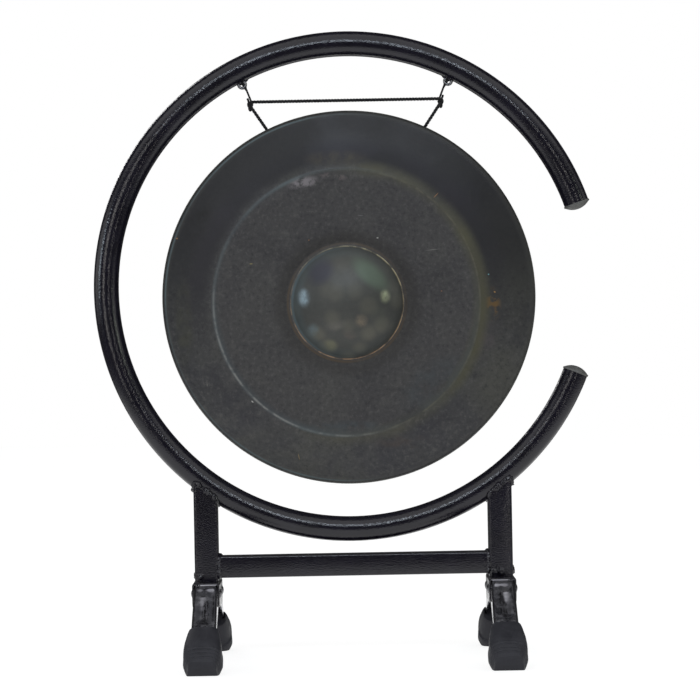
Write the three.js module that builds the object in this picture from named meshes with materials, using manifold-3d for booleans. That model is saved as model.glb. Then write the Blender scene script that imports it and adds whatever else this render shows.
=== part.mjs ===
// Gong on a C-shaped tube stand with folding chromed feet.
// Millimetres, +Z up, +X to the viewer's right, the gong faces -Y.
// The origin lies on the floor, under the middle of the whole object's box.

import * as THREE from 'three';
import { mergeVertices } from 'three/addons/utils/BufferGeometryUtils.js';
import Module from 'manifold-3d';

const wasm = await Module();
wasm.setup();

// Clearances and cutting overrun
const seatGap = 0.3;
const runningGap = 0.4;
const overrun = 5;

// Ring: one round tube bent into a C round the gong
const ringClearance = 43.8;
const ringTubeRadius = 12.7;
const ringWall = 1.5;
const mouthHalfAngle = THREE.MathUtils.degToRad(20.5);
const mouthTurn = THREE.MathUtils.degToRad(-1.4);
const ringSteps = 64;
const ringSides = 16;
const ringBoreSides = 12;
const postCutSteps = 16;

// Plastic plugs in the two open ends of the ring
const plugDomeHeight = 4.5;
const plugLipThickness = 1.2;
const plugStemLength = 12;
const plugStemSlack = 1;

// Base frame: two square posts and a crossbar
const postSpacing = 299;
const postSide = 24;
const postWall = 1.5;
const postCorner = 2.5;
const crossbarSide = 22;
const crossbarWall = 1.5;
const crossbarCorner = 2;
const crossbarRise = 3;
const ringAboveCrossbar = 12.3;

// Bracket: an upturned channel under each post
const bracketTop = 83;
const bracketLength = 62;
const bracketHeight = 25;
const bracketWall = 1.6;
const bracketBend = 3;
const bracketCorner = 7;

// Legs: pressed channels that hinge on rivets in the bracket
const legSlope = THREE.MathUtils.degToRad(38);
const legWidth = 24.5;
const legDepth = 17;
const legWall = 1.8;
const legBend = 3;
const legRibWidth = 13;
const legRibDepth = 1.2;
const legRibStart = 19;
const legRibLength = 36;
const earRadius = 8.5;
const earTaper = 30;
const stopGap = 1.1;
const pinInset = 12;
const pinDrop = 9;
const pinRadius = 3;
const pinHeadRadius = 5;
const pinHeadThickness = 1.8;
const pinHeadFlatShare = 0.5;
const pinHeadEdgeShare = 0.33;
const pinSides = 12;

// Rubber boots on the legs
const bootAxisHeight = 17;
const bootHalfLength = 24;
const bootWidth = 39.5;
const bootThickness = 38;
const bootSocketPast = 6;

// Gong
const gongRadius = 190.5;
const gongWall = 2;
const gongDrop = 11.8;
const bossRadius = 57.4;
const bossHeight = 26;
const bossFillet = 4;
const bossGroove = 0.5;
const bossFootWidth = 12;
const bossSpan = THREE.MathUtils.degToRad(62);
const faceRadius = 135;
const faceEase = 4;
const faceEaseDrop = 1;
const faceLow = 4.2;
const faceSide = 2;
const shoulderDepth = 13;
const shoulderMiddleShare = 0.42;
const rimCorner = 5;
const rimDepth = 44;
const rimTaper = 7;
const rimMiddleShare = 0.5;
const rimMiddleTaperShare = 0.4;
const gongSegments = 56;

// Hanging cord, its knots and the two thin loops that carry it
const cordRadius = 1.6;
const cordSides = 8;
const holeAngle = THREE.MathUtils.degToRad(25);
const holeRadius = 3.5;
const holeInset = 9;
const gongTilt = THREE.MathUtils.degToRad(3.08);
const barAboveHoles = 28.45;
const knotBelowBar = 3.9;
const knotInsideEye = 4.24;
const knotRadius = 3.2;
const knotLength = 11;
const stopperRadius = 4;
const stopperGap = 0.5;
const eyeAngle = THREE.MathUtils.degToRad(26.3);
const eyeRadius = 4;
const eyeWire = 1.5;
const loopRadius = 3.4;
const loopCord = 1;
const loopInsideKnot = 5.5;

// Heights and places that follow from the sizes above
const ringRadius = gongRadius + ringClearance + ringTubeRadius;
const ringOutside = ringRadius + ringTubeRadius;
const mouthNear = mouthHalfAngle - Math.abs(mouthTurn);
const plugLipPast = seatGap + plugLipThickness;
const mouthReach = ringOutside * Math.cos(mouthNear) + plugLipPast * Math.sin(mouthNear);
const ringCentreX = (ringOutside - mouthReach) / 2;
const crossbarCentreZ = bracketTop + crossbarRise + crossbarSide / 2;
const crossbarTopZ = crossbarCentreZ + crossbarSide / 2;
const ringCentreZ = crossbarTopZ + ringAboveCrossbar + ringTubeRadius + ringRadius;
const gongCentreZ = ringCentreZ - gongDrop;
const bracketInnerWidth = legWidth + 2 * runningGap;
const bracketWidth = bracketInnerWidth + 2 * bracketWall;
const pinY = bracketLength / 2 - pinInset;
const legTopZ = bracketTop - bracketWall - stopGap;
const pinZ = legTopZ - pinDrop;

// Hanging places, from the ring's centre, on the side of positive X
const eyeDistance = ringRadius - ringTubeRadius - seatGap - eyeRadius - eyeWire;
const eyeX = eyeDistance * Math.sin(eyeAngle);
const eyeHeight = eyeDistance * Math.cos(eyeAngle);
const holeX = gongRadius * Math.sin(holeAngle);
const holeHeight = gongRadius * Math.cos(holeAngle) - gongDrop;
const barHeight = holeHeight + barAboveHoles;
const knotHeight = barHeight - knotBelowBar;
const knotX = eyeX - knotInsideEye;
const loopFootX = knotX - loopInsideKnot;

// Materials
const paint = new THREE.MeshStandardMaterial({ color: 0x15161a, roughness: 0.32, metalness: 0.35 });
const chrome = new THREE.MeshStandardMaterial({ color: 0x8c8d90, roughness: 0.12, metalness: 1 });
const steel = new THREE.MeshStandardMaterial({ color: 0x5a5b5e, roughness: 0.3, metalness: 1 });
const rubber = new THREE.MeshStandardMaterial({ color: 0x2e2f31, roughness: 0.7, metalness: 0 });
const plastic = new THREE.MeshStandardMaterial({ color: 0x1c1d1f, roughness: 0.45, metalness: 0 });
const bronze = new THREE.MeshStandardMaterial({ color: 0x34342f, roughness: 0.42, metalness: 0.9 });
const cordCloth = new THREE.MeshStandardMaterial({ color: 0x17181b, roughness: 0.85, metalness: 0 });

const group = new THREE.Group();

// Keeps only positions, joins shared vertices and drops triangles with no area.
function joined(geometry) {
  const bare = geometry.clone();
  bare.deleteAttribute('normal');
  bare.deleteAttribute('uv');
  const whole = mergeVertices(bare);
  const kept = [];
  const index = whole.index.array;
  for (let i = 0; i < index.length; i += 3) {
    const [a, b, c] = [index[i], index[i + 1], index[i + 2]];
    if (a !== b && b !== c && c !== a) kept.push(a, b, c);
  }
  whole.setIndex(kept);
  return whole;
}

// A solid that can be cut, from closed geometry.
function solidOf(geometry) {
  const whole = joined(geometry);
  const vertProperties = new Float32Array(whole.attributes.position.array);
  const triVerts = new Uint32Array(whole.index.array);
  return new wasm.Manifold(new wasm.Mesh({ numProp: 3, vertProperties, triVerts }));
}

// Geometry from a solid.
function geometryOf(solid) {
  const mesh = solid.getMesh();
  const geometry = new THREE.BufferGeometry();
  geometry.setAttribute('position', new THREE.BufferAttribute(new Float32Array(mesh.vertProperties), 3));
  geometry.setIndex([...mesh.triVerts]);
  geometry.computeVertexNormals();
  return geometry;
}

// Adds one named piece.
function addPiece(name, geometry, material, x = 0, y = 0, z = 0) {
  const mesh = new THREE.Mesh(geometry, material);
  mesh.name = name;
  mesh.position.set(x, y, z);
  group.add(mesh);
  return mesh;
}

// A rectangle with rounded corners, centred on the origin.
function roundedRectangle(width, height, corner, Kind = THREE.Shape) {
  const w = width / 2;
  const h = height / 2;
  const shape = new Kind();
  shape.moveTo(-w + corner, -h);
  shape.lineTo(w - corner, -h);
  shape.absarc(w - corner, -h + corner, corner, -Math.PI / 2, 0, false);
  shape.lineTo(w, h - corner);
  shape.absarc(w - corner, h - corner, corner, 0, Math.PI / 2, false);
  shape.lineTo(-w + corner, h);
  shape.absarc(-w + corner, h - corner, corner, Math.PI / 2, Math.PI, false);
  shape.lineTo(-w, -h + corner);
  shape.absarc(-w + corner, -h + corner, corner, Math.PI, Math.PI * 3 / 2, false);
  return shape;
}

// Extrudes along +Z, centred on the XY plane.
function prism(shape, length, curveSegments = 2) {
  const geometry = new THREE.ExtrudeGeometry(shape, { depth: length, bevelEnabled: false, curveSegments });
  return geometry.translate(0, 0, -length / 2);
}

// A prism of a side view: the shape's x runs along Y, its y along Z, and its length along X.
function sidePrism(shape, length, curveSegments = 2) {
  const geometry = prism(shape, length, curveSegments);
  geometry.rotateY(Math.PI / 2);
  geometry.rotateX(Math.PI / 2);
  return geometry;
}

// A cylinder along X.
function crossRod(radius, length, segments) {
  const turn = Math.PI / segments;
  const geometry = new THREE.CylinderGeometry(radius, radius, length, segments);
  return geometry.rotateY(turn).rotateZ(Math.PI / 2);
}

// The arc of the ring's centreline between two angles, in the XZ plane round the origin.
class RingArc extends THREE.Curve {
  constructor(radius, start, end) {
    super();
    this.radius = radius;
    this.start = start;
    this.end = end;
  }

  getPoint(t, target = new THREE.Vector3()) {
    const angle = this.start + (this.end - this.start) * t;
    return target.set(this.radius * Math.cos(angle), 0, this.radius * Math.sin(angle));
  }
}

// A regular polygon round the origin, as a shape or as a hole's path.
function polygon(radius, sides, Kind = THREE.Shape) {
  const outline = new Kind();
  outline.moveTo(radius, 0);
  for (let i = 1; i < sides; i += 1) {
    const angle = (2 * Math.PI * i) / sides;
    outline.lineTo(radius * Math.cos(angle), radius * Math.sin(angle));
  }
  outline.closePath();
  return outline;
}

// Sweeps a section along a curve.
function sweep(section, path, steps) {
  return new THREE.ExtrudeGeometry(section, { extrudePath: path, steps, bevelEnabled: false });
}

// Ring tube and its two plugs
function addRing() {
  const arc = new RingArc(ringRadius, mouthTurn + mouthHalfAngle, mouthTurn + 2 * Math.PI - mouthHalfAngle);
  const section = polygon(ringTubeRadius, ringSides);
  section.holes.push(polygon(ringTubeRadius - ringWall, ringBoreSides, THREE.Path));
  addPiece('ring_tube', sweep(section, arc, ringSteps), paint, ringCentreX, 0, ringCentreZ);

  const stemRadius = ringTubeRadius - ringWall - plugStemSlack;
  const dome = [];
  const domeSteps = 4;
  for (let i = 0; i <= domeSteps; i += 1) {
    const angle = (Math.PI / 2) * (i / domeSteps);
    const r = i === domeSteps ? 0 : ringTubeRadius * Math.cos(angle);
    dome.push(new THREE.Vector2(r, plugLipThickness + plugDomeHeight * Math.sin(angle)));
  }
  const profile = [
    new THREE.Vector2(0, -plugStemLength),
    new THREE.Vector2(stemRadius, -plugStemLength),
    new THREE.Vector2(stemRadius, 0),
    new THREE.Vector2(ringTubeRadius, 0),
    ...dome,
  ];
  const plug = new THREE.LatheGeometry(profile, ringSides);
  for (const [name, side] of [['end_plug_top', 1], ['end_plug_bottom', -1]]) {
    const angle = mouthTurn + side * mouthHalfAngle;
    const towards = new THREE.Vector3(side * Math.sin(angle), 0, -side * Math.cos(angle));
    const x = ringCentreX + ringRadius * Math.cos(angle) + seatGap * towards.x;
    const z = ringCentreZ + ringRadius * Math.sin(angle) + seatGap * towards.z;
    const mesh = addPiece(name, plug, plastic, x, 0, z);
    mesh.quaternion.setFromUnitVectors(new THREE.Vector3(0, 1, 0), towards);
  }
}

// Posts, cut to the ring at their tops, and the crossbar between them
function addBaseFrame() {
  const outer = roundedRectangle(postSide, postSide, postCorner);
  const postBore = postSide - 2 * postWall;
  outer.holes.push(roundedRectangle(postBore, postBore, postCorner / 2, THREE.Path));
  const postHeight = ringCentreZ - bracketTop;
  const blank = solidOf(prism(outer, postHeight).translate(0, 0, postHeight / 2));
  const cutSection = polygon(ringTubeRadius + seatGap, ringSides);
  const postAngle = Math.asin(postSpacing / 2 / ringRadius);
  const cutSpan = (2 * postSide + ringTubeRadius) / ringRadius;
  for (const [name, side] of [['post_left', -1], ['post_right', 1]]) {
    const x = ringCentreX + side * (postSpacing / 2);
    const toRing = new THREE.Vector3(-side * (postSpacing / 2), 0, ringCentreZ - bracketTop - seatGap);
    const middle = (Math.PI * 3) / 2 + side * postAngle;
    const arc = new RingArc(ringRadius, middle - cutSpan, middle + cutSpan);
    const tube = sweep(cutSection, arc, postCutSteps);
    const disc = new THREE.CylinderGeometry(ringRadius, ringRadius, postSide + overrun, ringSteps * 2);
    const tubeCut = solidOf(tube.translate(toRing.x, toRing.y, toRing.z));
    const discCut = solidOf(disc.translate(toRing.x, toRing.y, toRing.z));
    const post = blank.subtract(tubeCut).subtract(discCut);
    addPiece(name, geometryOf(post), paint, x, 0, bracketTop + seatGap);
  }

  const bar = roundedRectangle(crossbarSide, crossbarSide, crossbarCorner);
  const bore = crossbarSide - 2 * crossbarWall;
  bar.holes.push(roundedRectangle(bore, bore, crossbarCorner / 2, THREE.Path));
  const barLength = postSpacing - postSide - 2 * seatGap;
  const barGeometry = prism(bar, barLength).rotateY(Math.PI / 2);
  addPiece('crossbar', barGeometry, paint, ringCentreX, 0, crossbarCentreZ);
}

// Bracket: a channel seen from the front, with its flanges' corners rounded off
function bracketGeometry() {
  const w = bracketWidth / 2;
  const inner = bracketInnerWidth / 2;
  const innerBend = bracketBend - bracketWall;
  const front = new THREE.Shape();
  front.moveTo(-w, -bracketHeight);
  front.lineTo(-inner, -bracketHeight);
  front.lineTo(-inner, -bracketWall - innerBend);
  front.absarc(-inner + innerBend, -bracketWall - innerBend, innerBend, Math.PI, Math.PI / 2, true);
  front.lineTo(inner - innerBend, -bracketWall);
  front.absarc(inner - innerBend, -bracketWall - innerBend, innerBend, Math.PI / 2, 0, true);
  front.lineTo(inner, -bracketHeight);
  front.lineTo(w, -bracketHeight);
  front.lineTo(w, -bracketBend);
  front.absarc(w - bracketBend, -bracketBend, bracketBend, 0, Math.PI / 2, false);
  front.lineTo(-w + bracketBend, 0);
  front.absarc(-w + bracketBend, -bracketBend, bracketBend, Math.PI / 2, Math.PI, false);
  const channel = solidOf(prism(front, bracketLength).rotateX(Math.PI / 2));

  const side = new THREE.Shape();
  const half = bracketLength / 2;
  side.moveTo(-half, overrun);
  side.lineTo(-half, -bracketHeight + bracketCorner);
  const cornerZ = -bracketHeight + bracketCorner;
  side.absarc(-half + bracketCorner, cornerZ, bracketCorner, Math.PI, Math.PI * 3 / 2);
  side.lineTo(half - bracketCorner, -bracketHeight);
  side.absarc(half - bracketCorner, cornerZ, bracketCorner, -Math.PI / 2, 0);
  side.lineTo(half, overrun);
  let bracket = channel.intersect(solidOf(sidePrism(side, bracketWidth + overrun)));
  for (const y of [-pinY, pinY]) {
    const hole = crossRod(pinRadius + seatGap, bracketWidth + overrun, pinSides);
    bracket = bracket.subtract(solidOf(hole.translate(0, y, pinZ - bracketTop)));
  }
  return geometryOf(bracket);
}

// Rivet along X with a low domed head at each end
function pinGeometry() {
  const half = bracketWidth / 2 + seatGap;
  const headEnd = half + pinHeadThickness;
  const headFlat = pinHeadRadius * pinHeadFlatShare;
  const headEdge = half + pinHeadThickness * pinHeadEdgeShare;
  const profile = [
    new THREE.Vector2(0, -headEnd),
    new THREE.Vector2(headFlat, -headEnd),
    new THREE.Vector2(pinHeadRadius, -headEdge),
    new THREE.Vector2(pinHeadRadius, -half),
    new THREE.Vector2(pinRadius, -half),
    new THREE.Vector2(pinRadius, half),
    new THREE.Vector2(pinHeadRadius, half),
    new THREE.Vector2(pinHeadRadius, headEdge),
    new THREE.Vector2(headFlat, headEnd),
    new THREE.Vector2(0, headEnd),
  ];
  return new THREE.LatheGeometry(profile, pinSides).rotateY(Math.PI / pinSides).rotateZ(Math.PI / 2);
}

// Places along a leg: distance out from the top edge of its web, and distance up from its web's face.
// The foot's own axes are Y, outwards from the post, and Z, up from the floor.
const legRun = new THREE.Vector2(Math.cos(legSlope), -Math.sin(legSlope));
const legUp = new THREE.Vector2(Math.sin(legSlope), Math.cos(legSlope));
const legTop = new THREE.Vector2(bracketLength / 2, legTopZ);
const pinOut = new THREE.Vector2(pinY - legTop.x, pinZ - legTop.y);
const pinAlong = pinOut.dot(legRun);
const pinAbove = pinOut.dot(legUp);
const bootMiddle = (legTopZ - (legDepth / 2) * legUp.y - bootAxisHeight) / Math.sin(legSlope);
const legLength = bootMiddle + bootSocketPast;

// Turns geometry built along a leg (Y along it, Z up from its web) into the foot's place.
function ontoLeg(geometry) {
  return geometry.rotateX(-legSlope).translate(0, legTop.x, legTop.y);
}

// Leg: a channel with its web on top and an ear round the rivet at the end of each flange
function legGeometry() {
  const start = Math.PI / 2 + legSlope;
  const outline = new THREE.Shape();
  outline.moveTo(legLength, 0);
  outline.lineTo(0, 0);
  outline.absarc(pinAlong, pinAbove, earRadius, start, Math.PI * 3 / 2, false);
  outline.lineTo(pinAlong + earRadius, pinAbove - earRadius);
  outline.lineTo(earTaper, -legDepth);
  outline.lineTo(legLength, -legDepth);
  let leg = solidOf(sidePrism(outline, legWidth, 4));

  const hollowWidth = legWidth - 2 * legWall;
  const past = overrun + 2 * earRadius;
  const hollow = new THREE.Shape();
  hollow.moveTo(-past, -legWall);
  hollow.lineTo(-past, -legDepth - past);
  hollow.lineTo(legLength + past, -legDepth - past);
  hollow.lineTo(legLength + past, -legWall);
  leg = leg.subtract(solidOf(sidePrism(hollow, hollowWidth)));
  const open = new THREE.Shape();
  open.moveTo(-past, overrun);
  open.lineTo(-past, -overrun - legWall);
  open.lineTo(0, -overrun - legWall);
  open.lineTo(0, overrun);
  leg = leg.subtract(solidOf(sidePrism(open, hollowWidth)));

  const barDepth = 2 * (legDepth + past);
  const bar = prism(roundedRectangle(legWidth, barDepth, legBend), legLength + 2 * past);
  leg = leg.intersect(solidOf(bar.rotateX(Math.PI / 2).translate(0, legLength / 2, -barDepth / 2)));

  const ribCorner = legRibWidth / 2 - legRibDepth;
  const rib = prism(roundedRectangle(legRibWidth, legRibLength, ribCorner), 2 * legRibDepth);
  leg = leg.subtract(solidOf(rib.translate(0, legRibStart + legRibLength / 2, 0)));

  const hole = crossRod(pinRadius + seatGap, legWidth + overrun, pinSides);
  leg = leg.subtract(solidOf(hole.translate(0, pinAlong, pinAbove)));
  return ontoLeg(geometryOf(leg));
}

// Boot sections from its mouth to its toe: place along it, width and thickness
const bootSections = [
  { alongShare: -1.3, widthShare: 0.76, thicknessShare: 0.58 },
  { alongShare: -1.22, widthShare: 0.79, thicknessShare: 0.63 },
  { alongShare: -0.5, widthShare: 0.92, thicknessShare: 0.86 },
  { alongShare: -0.12, widthShare: 0.99, thicknessShare: 0.97 },
  { alongShare: 0.12, widthShare: 1, thicknessShare: 1 },
  { alongShare: 0.45, widthShare: 0.94, thicknessShare: 0.95 },
  { alongShare: 0.85, widthShare: 0.82, thicknessShare: 0.74 },
  { alongShare: 1, widthShare: 0.72, thicknessShare: 0.6 },
];
const bootCornerShare = 0.3;

// Joins rings of points, each the same length, into one closed skin.
function loft(rings) {
  const count = rings[0].length;
  const positions = rings.flat().flatMap((p) => [p.x, p.y, p.z]);
  const index = [];
  for (let r = 0; r + 1 < rings.length; r += 1) {
    for (let i = 0; i < count; i += 1) {
      const a = r * count + i;
      const b = r * count + ((i + 1) % count);
      index.push(a, a + count, b, b, a + count, b + count);
    }
  }
  const last = (rings.length - 1) * count;
  for (let i = 1; i + 1 < count; i += 1) {
    index.push(0, i, i + 1);
    index.push(last, last + i + 1, last + i);
  }
  const geometry = new THREE.BufferGeometry();
  geometry.setAttribute('position', new THREE.Float32BufferAttribute(positions, 3));
  geometry.setIndex(index);
  return geometry;
}

// The points of a rounded rectangle, always as many.
function roundedRing(width, height, corner) {
  const steps = 4;
  const points = [];
  for (const [turn, sx, sy] of [[0, 1, 1], [1, -1, 1], [2, -1, -1], [3, 1, -1]]) {
    for (let i = 0; i <= steps; i += 1) {
      const angle = (Math.PI / 2) * (turn + i / steps);
      const x = sx * (width / 2 - corner) + corner * Math.cos(angle);
      points.push(new THREE.Vector2(x, sy * (height / 2 - corner) + corner * Math.sin(angle)));
    }
  }
  return points;
}

// Boot: a swelling sleeve with a flat sole and a socket for the leg
function bootGeometry() {
  const rings = bootSections.map((section) => {
    const width = bootWidth * section.widthShare;
    const thickness = bootThickness * section.thicknessShare;
    const corner = Math.min(width, thickness) * bootCornerShare;
    const y = bootMiddle + section.alongShare * bootHalfLength;
    return roundedRing(width, thickness, corner).map((p) => new THREE.Vector3(p.x, y, p.y - legDepth / 2));
  });
  let boot = solidOf(ontoLeg(loft(rings)));
  const play = 2 * seatGap;
  const socket = new THREE.BoxGeometry(legWidth + play, legLength + play, legDepth + play);
  boot = boot.subtract(solidOf(ontoLeg(socket.translate(0, legLength / 2, -legDepth / 2))));
  const floorLength = 2 * (bootHalfLength + bootThickness);
  const floor = new THREE.BoxGeometry(bootWidth + overrun, floorLength, bootThickness);
  boot = boot.subtract(solidOf(floor.translate(0, legTop.x + bootMiddle * legRun.x, -bootThickness / 2)));
  return geometryOf(boot);
}

// Brackets, rivets, legs and boots under both posts
function addFeet() {
  const bracket = bracketGeometry();
  const pin = pinGeometry();
  const leg = legGeometry();
  const boot = bootGeometry();
  for (const [sideName, side] of [['left', -1], ['right', 1]]) {
    const x = ringCentreX + side * (postSpacing / 2);
    addPiece(`bracket_${sideName}`, bracket, paint, x, 0, bracketTop);
    for (const [endName, end] of [['front', -1], ['rear', 1]]) {
      addPiece(`rivet_${sideName}_${endName}`, pin, steel, x, end * pinY, pinZ);
      const turn = end < 0 ? Math.PI : 0;
      addPiece(`leg_${sideName}_${endName}`, leg, chrome, x).rotation.z = turn;
      addPiece(`boot_${sideName}_${endName}`, boot, rubber, x).rotation.z = turn;
    }
  }
}

// Gong skin from the middle of the boss to the back edge of the rim: radius and depth behind the face
function gongSkin() {
  const points = [];
  const bossSteps = 6;
  const domeRadius = bossRadius / Math.sin(bossSpan);
  const domeRise = domeRadius * (1 - Math.cos(bossSpan));
  for (let i = 0; i <= bossSteps; i += 1) {
    const angle = bossSpan * (i / bossSteps);
    const rise = (domeRadius * Math.cos(angle) - domeRadius + domeRise) * (bossHeight / domeRise);
    points.push(new THREE.Vector2(domeRadius * Math.sin(angle), -rise));
  }
  points.push(new THREE.Vector2(bossRadius + bossFillet, bossGroove));
  points.push(new THREE.Vector2(bossRadius + bossFootWidth, 0));
  points.push(new THREE.Vector2(faceRadius - faceEase, 0));
  points.push(new THREE.Vector2(faceRadius + faceEase, faceEaseDrop));
  points.push(new THREE.Vector2((faceRadius + gongRadius) / 2, shoulderDepth * shoulderMiddleShare));
  const cornerSteps = 3;
  for (let i = 0; i <= cornerSteps; i += 1) {
    const angle = (Math.PI / 2) * (1 - i / cornerSteps);
    const r = gongRadius - rimCorner + rimCorner * Math.cos(angle);
    points.push(new THREE.Vector2(r, shoulderDepth + rimCorner - rimCorner * Math.sin(angle)));
  }
  const rimMiddleRadius = gongRadius - rimTaper * rimMiddleTaperShare;
  points.push(new THREE.Vector2(rimMiddleRadius, shoulderDepth + rimDepth * rimMiddleShare));
  points.push(new THREE.Vector2(gongRadius - rimTaper, shoulderDepth + rimDepth));
  return points;
}

// The skin moved in by the metal's thickness, point by point.
function insideOf(points, wall) {
  return points.map((p, i) => {
    const before = points[Math.max(i - 1, 0)];
    const after = points[Math.min(i + 1, points.length - 1)];
    const along = new THREE.Vector2().subVectors(after, before).normalize();
    const r = i === 0 ? 0 : p.x - along.y * wall;
    return new THREE.Vector2(r, p.y + along.x * wall);
  });
}

// Depth of the drilled holes behind the face. The face is heavier than the rim, so the gong
// hangs from them with its face tipped down a little.
const holeDepth = shoulderDepth + holeInset;

// Where the cord passes the rim, from the gong's centre, on the side of positive X
const holePlace = new THREE.Vector3(holeX, 0, holeHeight + gongDrop);
const knotPlace = new THREE.Vector3(knotX, 0, knotHeight + gongDrop);
const cordDown = new THREE.Vector3().subVectors(holePlace, knotPlace).normalize();

// Gong: a beaten bronze skin whose boss and face sit a little low in the rim
function addGong() {
  const skin = gongSkin();
  const profile = [...skin, ...insideOf(skin, gongWall).reverse()];
  const gong = new THREE.LatheGeometry(profile, gongSegments);
  const position = gong.attributes.position;
  const shoulderEnd = gongRadius - rimCorner;
  for (let i = 0; i < position.count; i += 1) {
    const [x, y, z] = [position.getX(i), position.getY(i), position.getZ(i)];
    const r = Math.hypot(x, z);
    const share = THREE.MathUtils.clamp((shoulderEnd - r) / (shoulderEnd - faceRadius), 0, 1);
    position.setXYZ(i, x - faceSide * share, y - holeDepth, z - faceLow * share - holePlace.z);
  }
  let solid = solidOf(gong);
  for (const side of [-1, 1]) {
    const drillLength = 2 * (gongWall + rimCorner + overrun);
    const drill = new THREE.CylinderGeometry(holeRadius, holeRadius, drillLength, pinSides);
    const direction = new THREE.Vector3(side * cordDown.x, 0, cordDown.z);
    drill.applyQuaternion(new THREE.Quaternion().setFromUnitVectors(new THREE.Vector3(0, 1, 0), direction));
    solid = solid.subtract(solidOf(drill.translate(side * holePlace.x, 0, 0)));
  }
  const gongPiece = addPiece('gong', geometryOf(solid), bronze, ringCentreX, 0, gongCentreZ + holePlace.z);
  gongPiece.rotation.x = gongTilt;
}

// A straight stretch of cord between two points.
function strand(from, to) {
  const path = new THREE.LineCurve3(from, to);
  return solidOf(sweep(polygon(cordRadius, cordSides), path, 1));
}

// A lump of knotted cord: a ball drawn out along Z.
function lump(radius, length, place) {
  const ball = new THREE.SphereGeometry(radius, 10, 8);
  ball.scale(1, 1, length / (2 * radius)).translate(place.x, place.y, place.z);
  return solidOf(ball);
}

// The gong's cord: up through the rim, a knot, the level bar, a knot and down through the rim
function addGongCord() {
  const innerWall = holePlace.clone().addScaledVector(cordDown, gongWall + stopperRadius + stopperGap);
  let cord = strand(new THREE.Vector3(-knotX, 0, barHeight), new THREE.Vector3(knotX, 0, barHeight));
  for (const side of [-1, 1]) {
    const knot = new THREE.Vector3(side * knotX, 0, knotHeight);
    const stopper = new THREE.Vector3(side * innerWall.x, 0, innerWall.z - gongDrop);
    cord = cord.add(strand(knot, stopper));
    cord = cord.add(lump(knotRadius, knotLength, knot));
    cord = cord.add(lump(stopperRadius, 2 * stopperRadius, stopper));
  }
  addPiece('gong_cord', geometryOf(cord), cordCloth, ringCentreX, 0, ringCentreZ);
}

// A torus in the YZ plane, drawn out along Z by the given length.
function link(radius, wire, stretch) {
  const segments = 24;
  const ring = new THREE.TorusGeometry(radius, wire, 6, segments);
  ring.rotateZ(Math.PI / segments);
  const position = ring.attributes.position;
  for (let i = 0; i < position.count; i += 1) {
    const y = position.getY(i);
    const x = position.getX(i);
    const place = i % (segments + 1);
    const upper = place < segments / 2 || place === segments;
    position.setXYZ(i, x, y + (upper ? stretch / 2 : -stretch / 2), position.getZ(i));
  }
  return joined(ring.rotateX(Math.PI / 2).rotateZ(Math.PI / 2));
}

// Welded eyes under the ring and the thin loops between them and the cord
function addHangers() {
  const eye = new THREE.TorusGeometry(eyeRadius, eyeWire, 6, 14).rotateX(Math.PI / 2);
  for (const [name, side] of [['left', -1], ['right', 1]]) {
    addPiece(`eye_${name}`, eye, steel, ringCentreX + side * eyeX, 0, ringCentreZ + eyeHeight);
    const top = new THREE.Vector2(side * eyeX, eyeHeight - eyeRadius + eyeWire + seatGap + loopCord);
    const foot = new THREE.Vector2(side * loopFootX, barHeight - cordRadius - seatGap - loopCord);
    const length = top.distanceTo(foot);
    const geometry = link(loopRadius, loopCord, length - 2 * loopRadius);
    const loop = addPiece(`hanger_loop_${name}`, geometry, cordCloth);
    loop.position.set(ringCentreX + (top.x + foot.x) / 2, 0, ringCentreZ + (top.y + foot.y) / 2);
    loop.rotation.y = Math.atan2(top.x - foot.x, top.y - foot.y);
  }
}

addRing();
addBaseFrame();
addFeet();
addGong();
addGongCord();
addHangers();

export default group;
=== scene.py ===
# %% [markdown]
# A bossed gong hangs by a knotted cord in a C-shaped tube stand on four folding, rubber-shod feet.
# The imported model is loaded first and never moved. Everything that follows dresses it: smoother
# metal, weld beads, laid cord, moulded rubber and the finish of each surface.

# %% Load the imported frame
import math

import bmesh
import bpy
from mathutils import Matrix, Vector, noise


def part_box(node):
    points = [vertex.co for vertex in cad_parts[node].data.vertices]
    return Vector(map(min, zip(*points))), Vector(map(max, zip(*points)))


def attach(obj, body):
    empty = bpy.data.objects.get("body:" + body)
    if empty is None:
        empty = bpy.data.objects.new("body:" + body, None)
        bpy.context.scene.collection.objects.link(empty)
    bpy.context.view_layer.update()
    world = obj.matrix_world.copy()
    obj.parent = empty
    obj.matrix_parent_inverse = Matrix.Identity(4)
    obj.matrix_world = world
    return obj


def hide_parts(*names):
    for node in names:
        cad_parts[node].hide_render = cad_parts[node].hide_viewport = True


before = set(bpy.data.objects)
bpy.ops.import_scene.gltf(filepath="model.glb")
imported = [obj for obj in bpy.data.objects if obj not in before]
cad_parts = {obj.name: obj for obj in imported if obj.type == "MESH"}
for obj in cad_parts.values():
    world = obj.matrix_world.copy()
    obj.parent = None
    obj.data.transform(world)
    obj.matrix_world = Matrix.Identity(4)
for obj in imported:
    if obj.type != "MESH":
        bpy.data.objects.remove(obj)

scene = bpy.context.scene
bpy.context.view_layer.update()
mm = 0.001

# %% [markdown]
# The photograph is taken from straight in front, with a long lens, from about half the stand's
# height. A level camera keeps the posts upright, and a small roll matches how the base sits in the
# picture. Placing the camera first means that every later choice is judged from the right spot.

# %% Camera
ring_low, ring_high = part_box("ring_tube")
tube_radius = (ring_high.y - ring_low.y) / 2
ring_outside = (ring_high.z - ring_low.z) / 2
ring_radius = ring_outside - tube_radius
ring_centre = Vector((ring_low.x + ring_outside, 0, (ring_high.z + ring_low.z) / 2))

camera_distance = 2594 * mm
camera_height = 315 * mm
camera_side = 0.1 * mm
camera_roll = math.radians(1.05)
picture_pixels = 700
focal_pixels = 2546.5
sensor_width = 36

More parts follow.
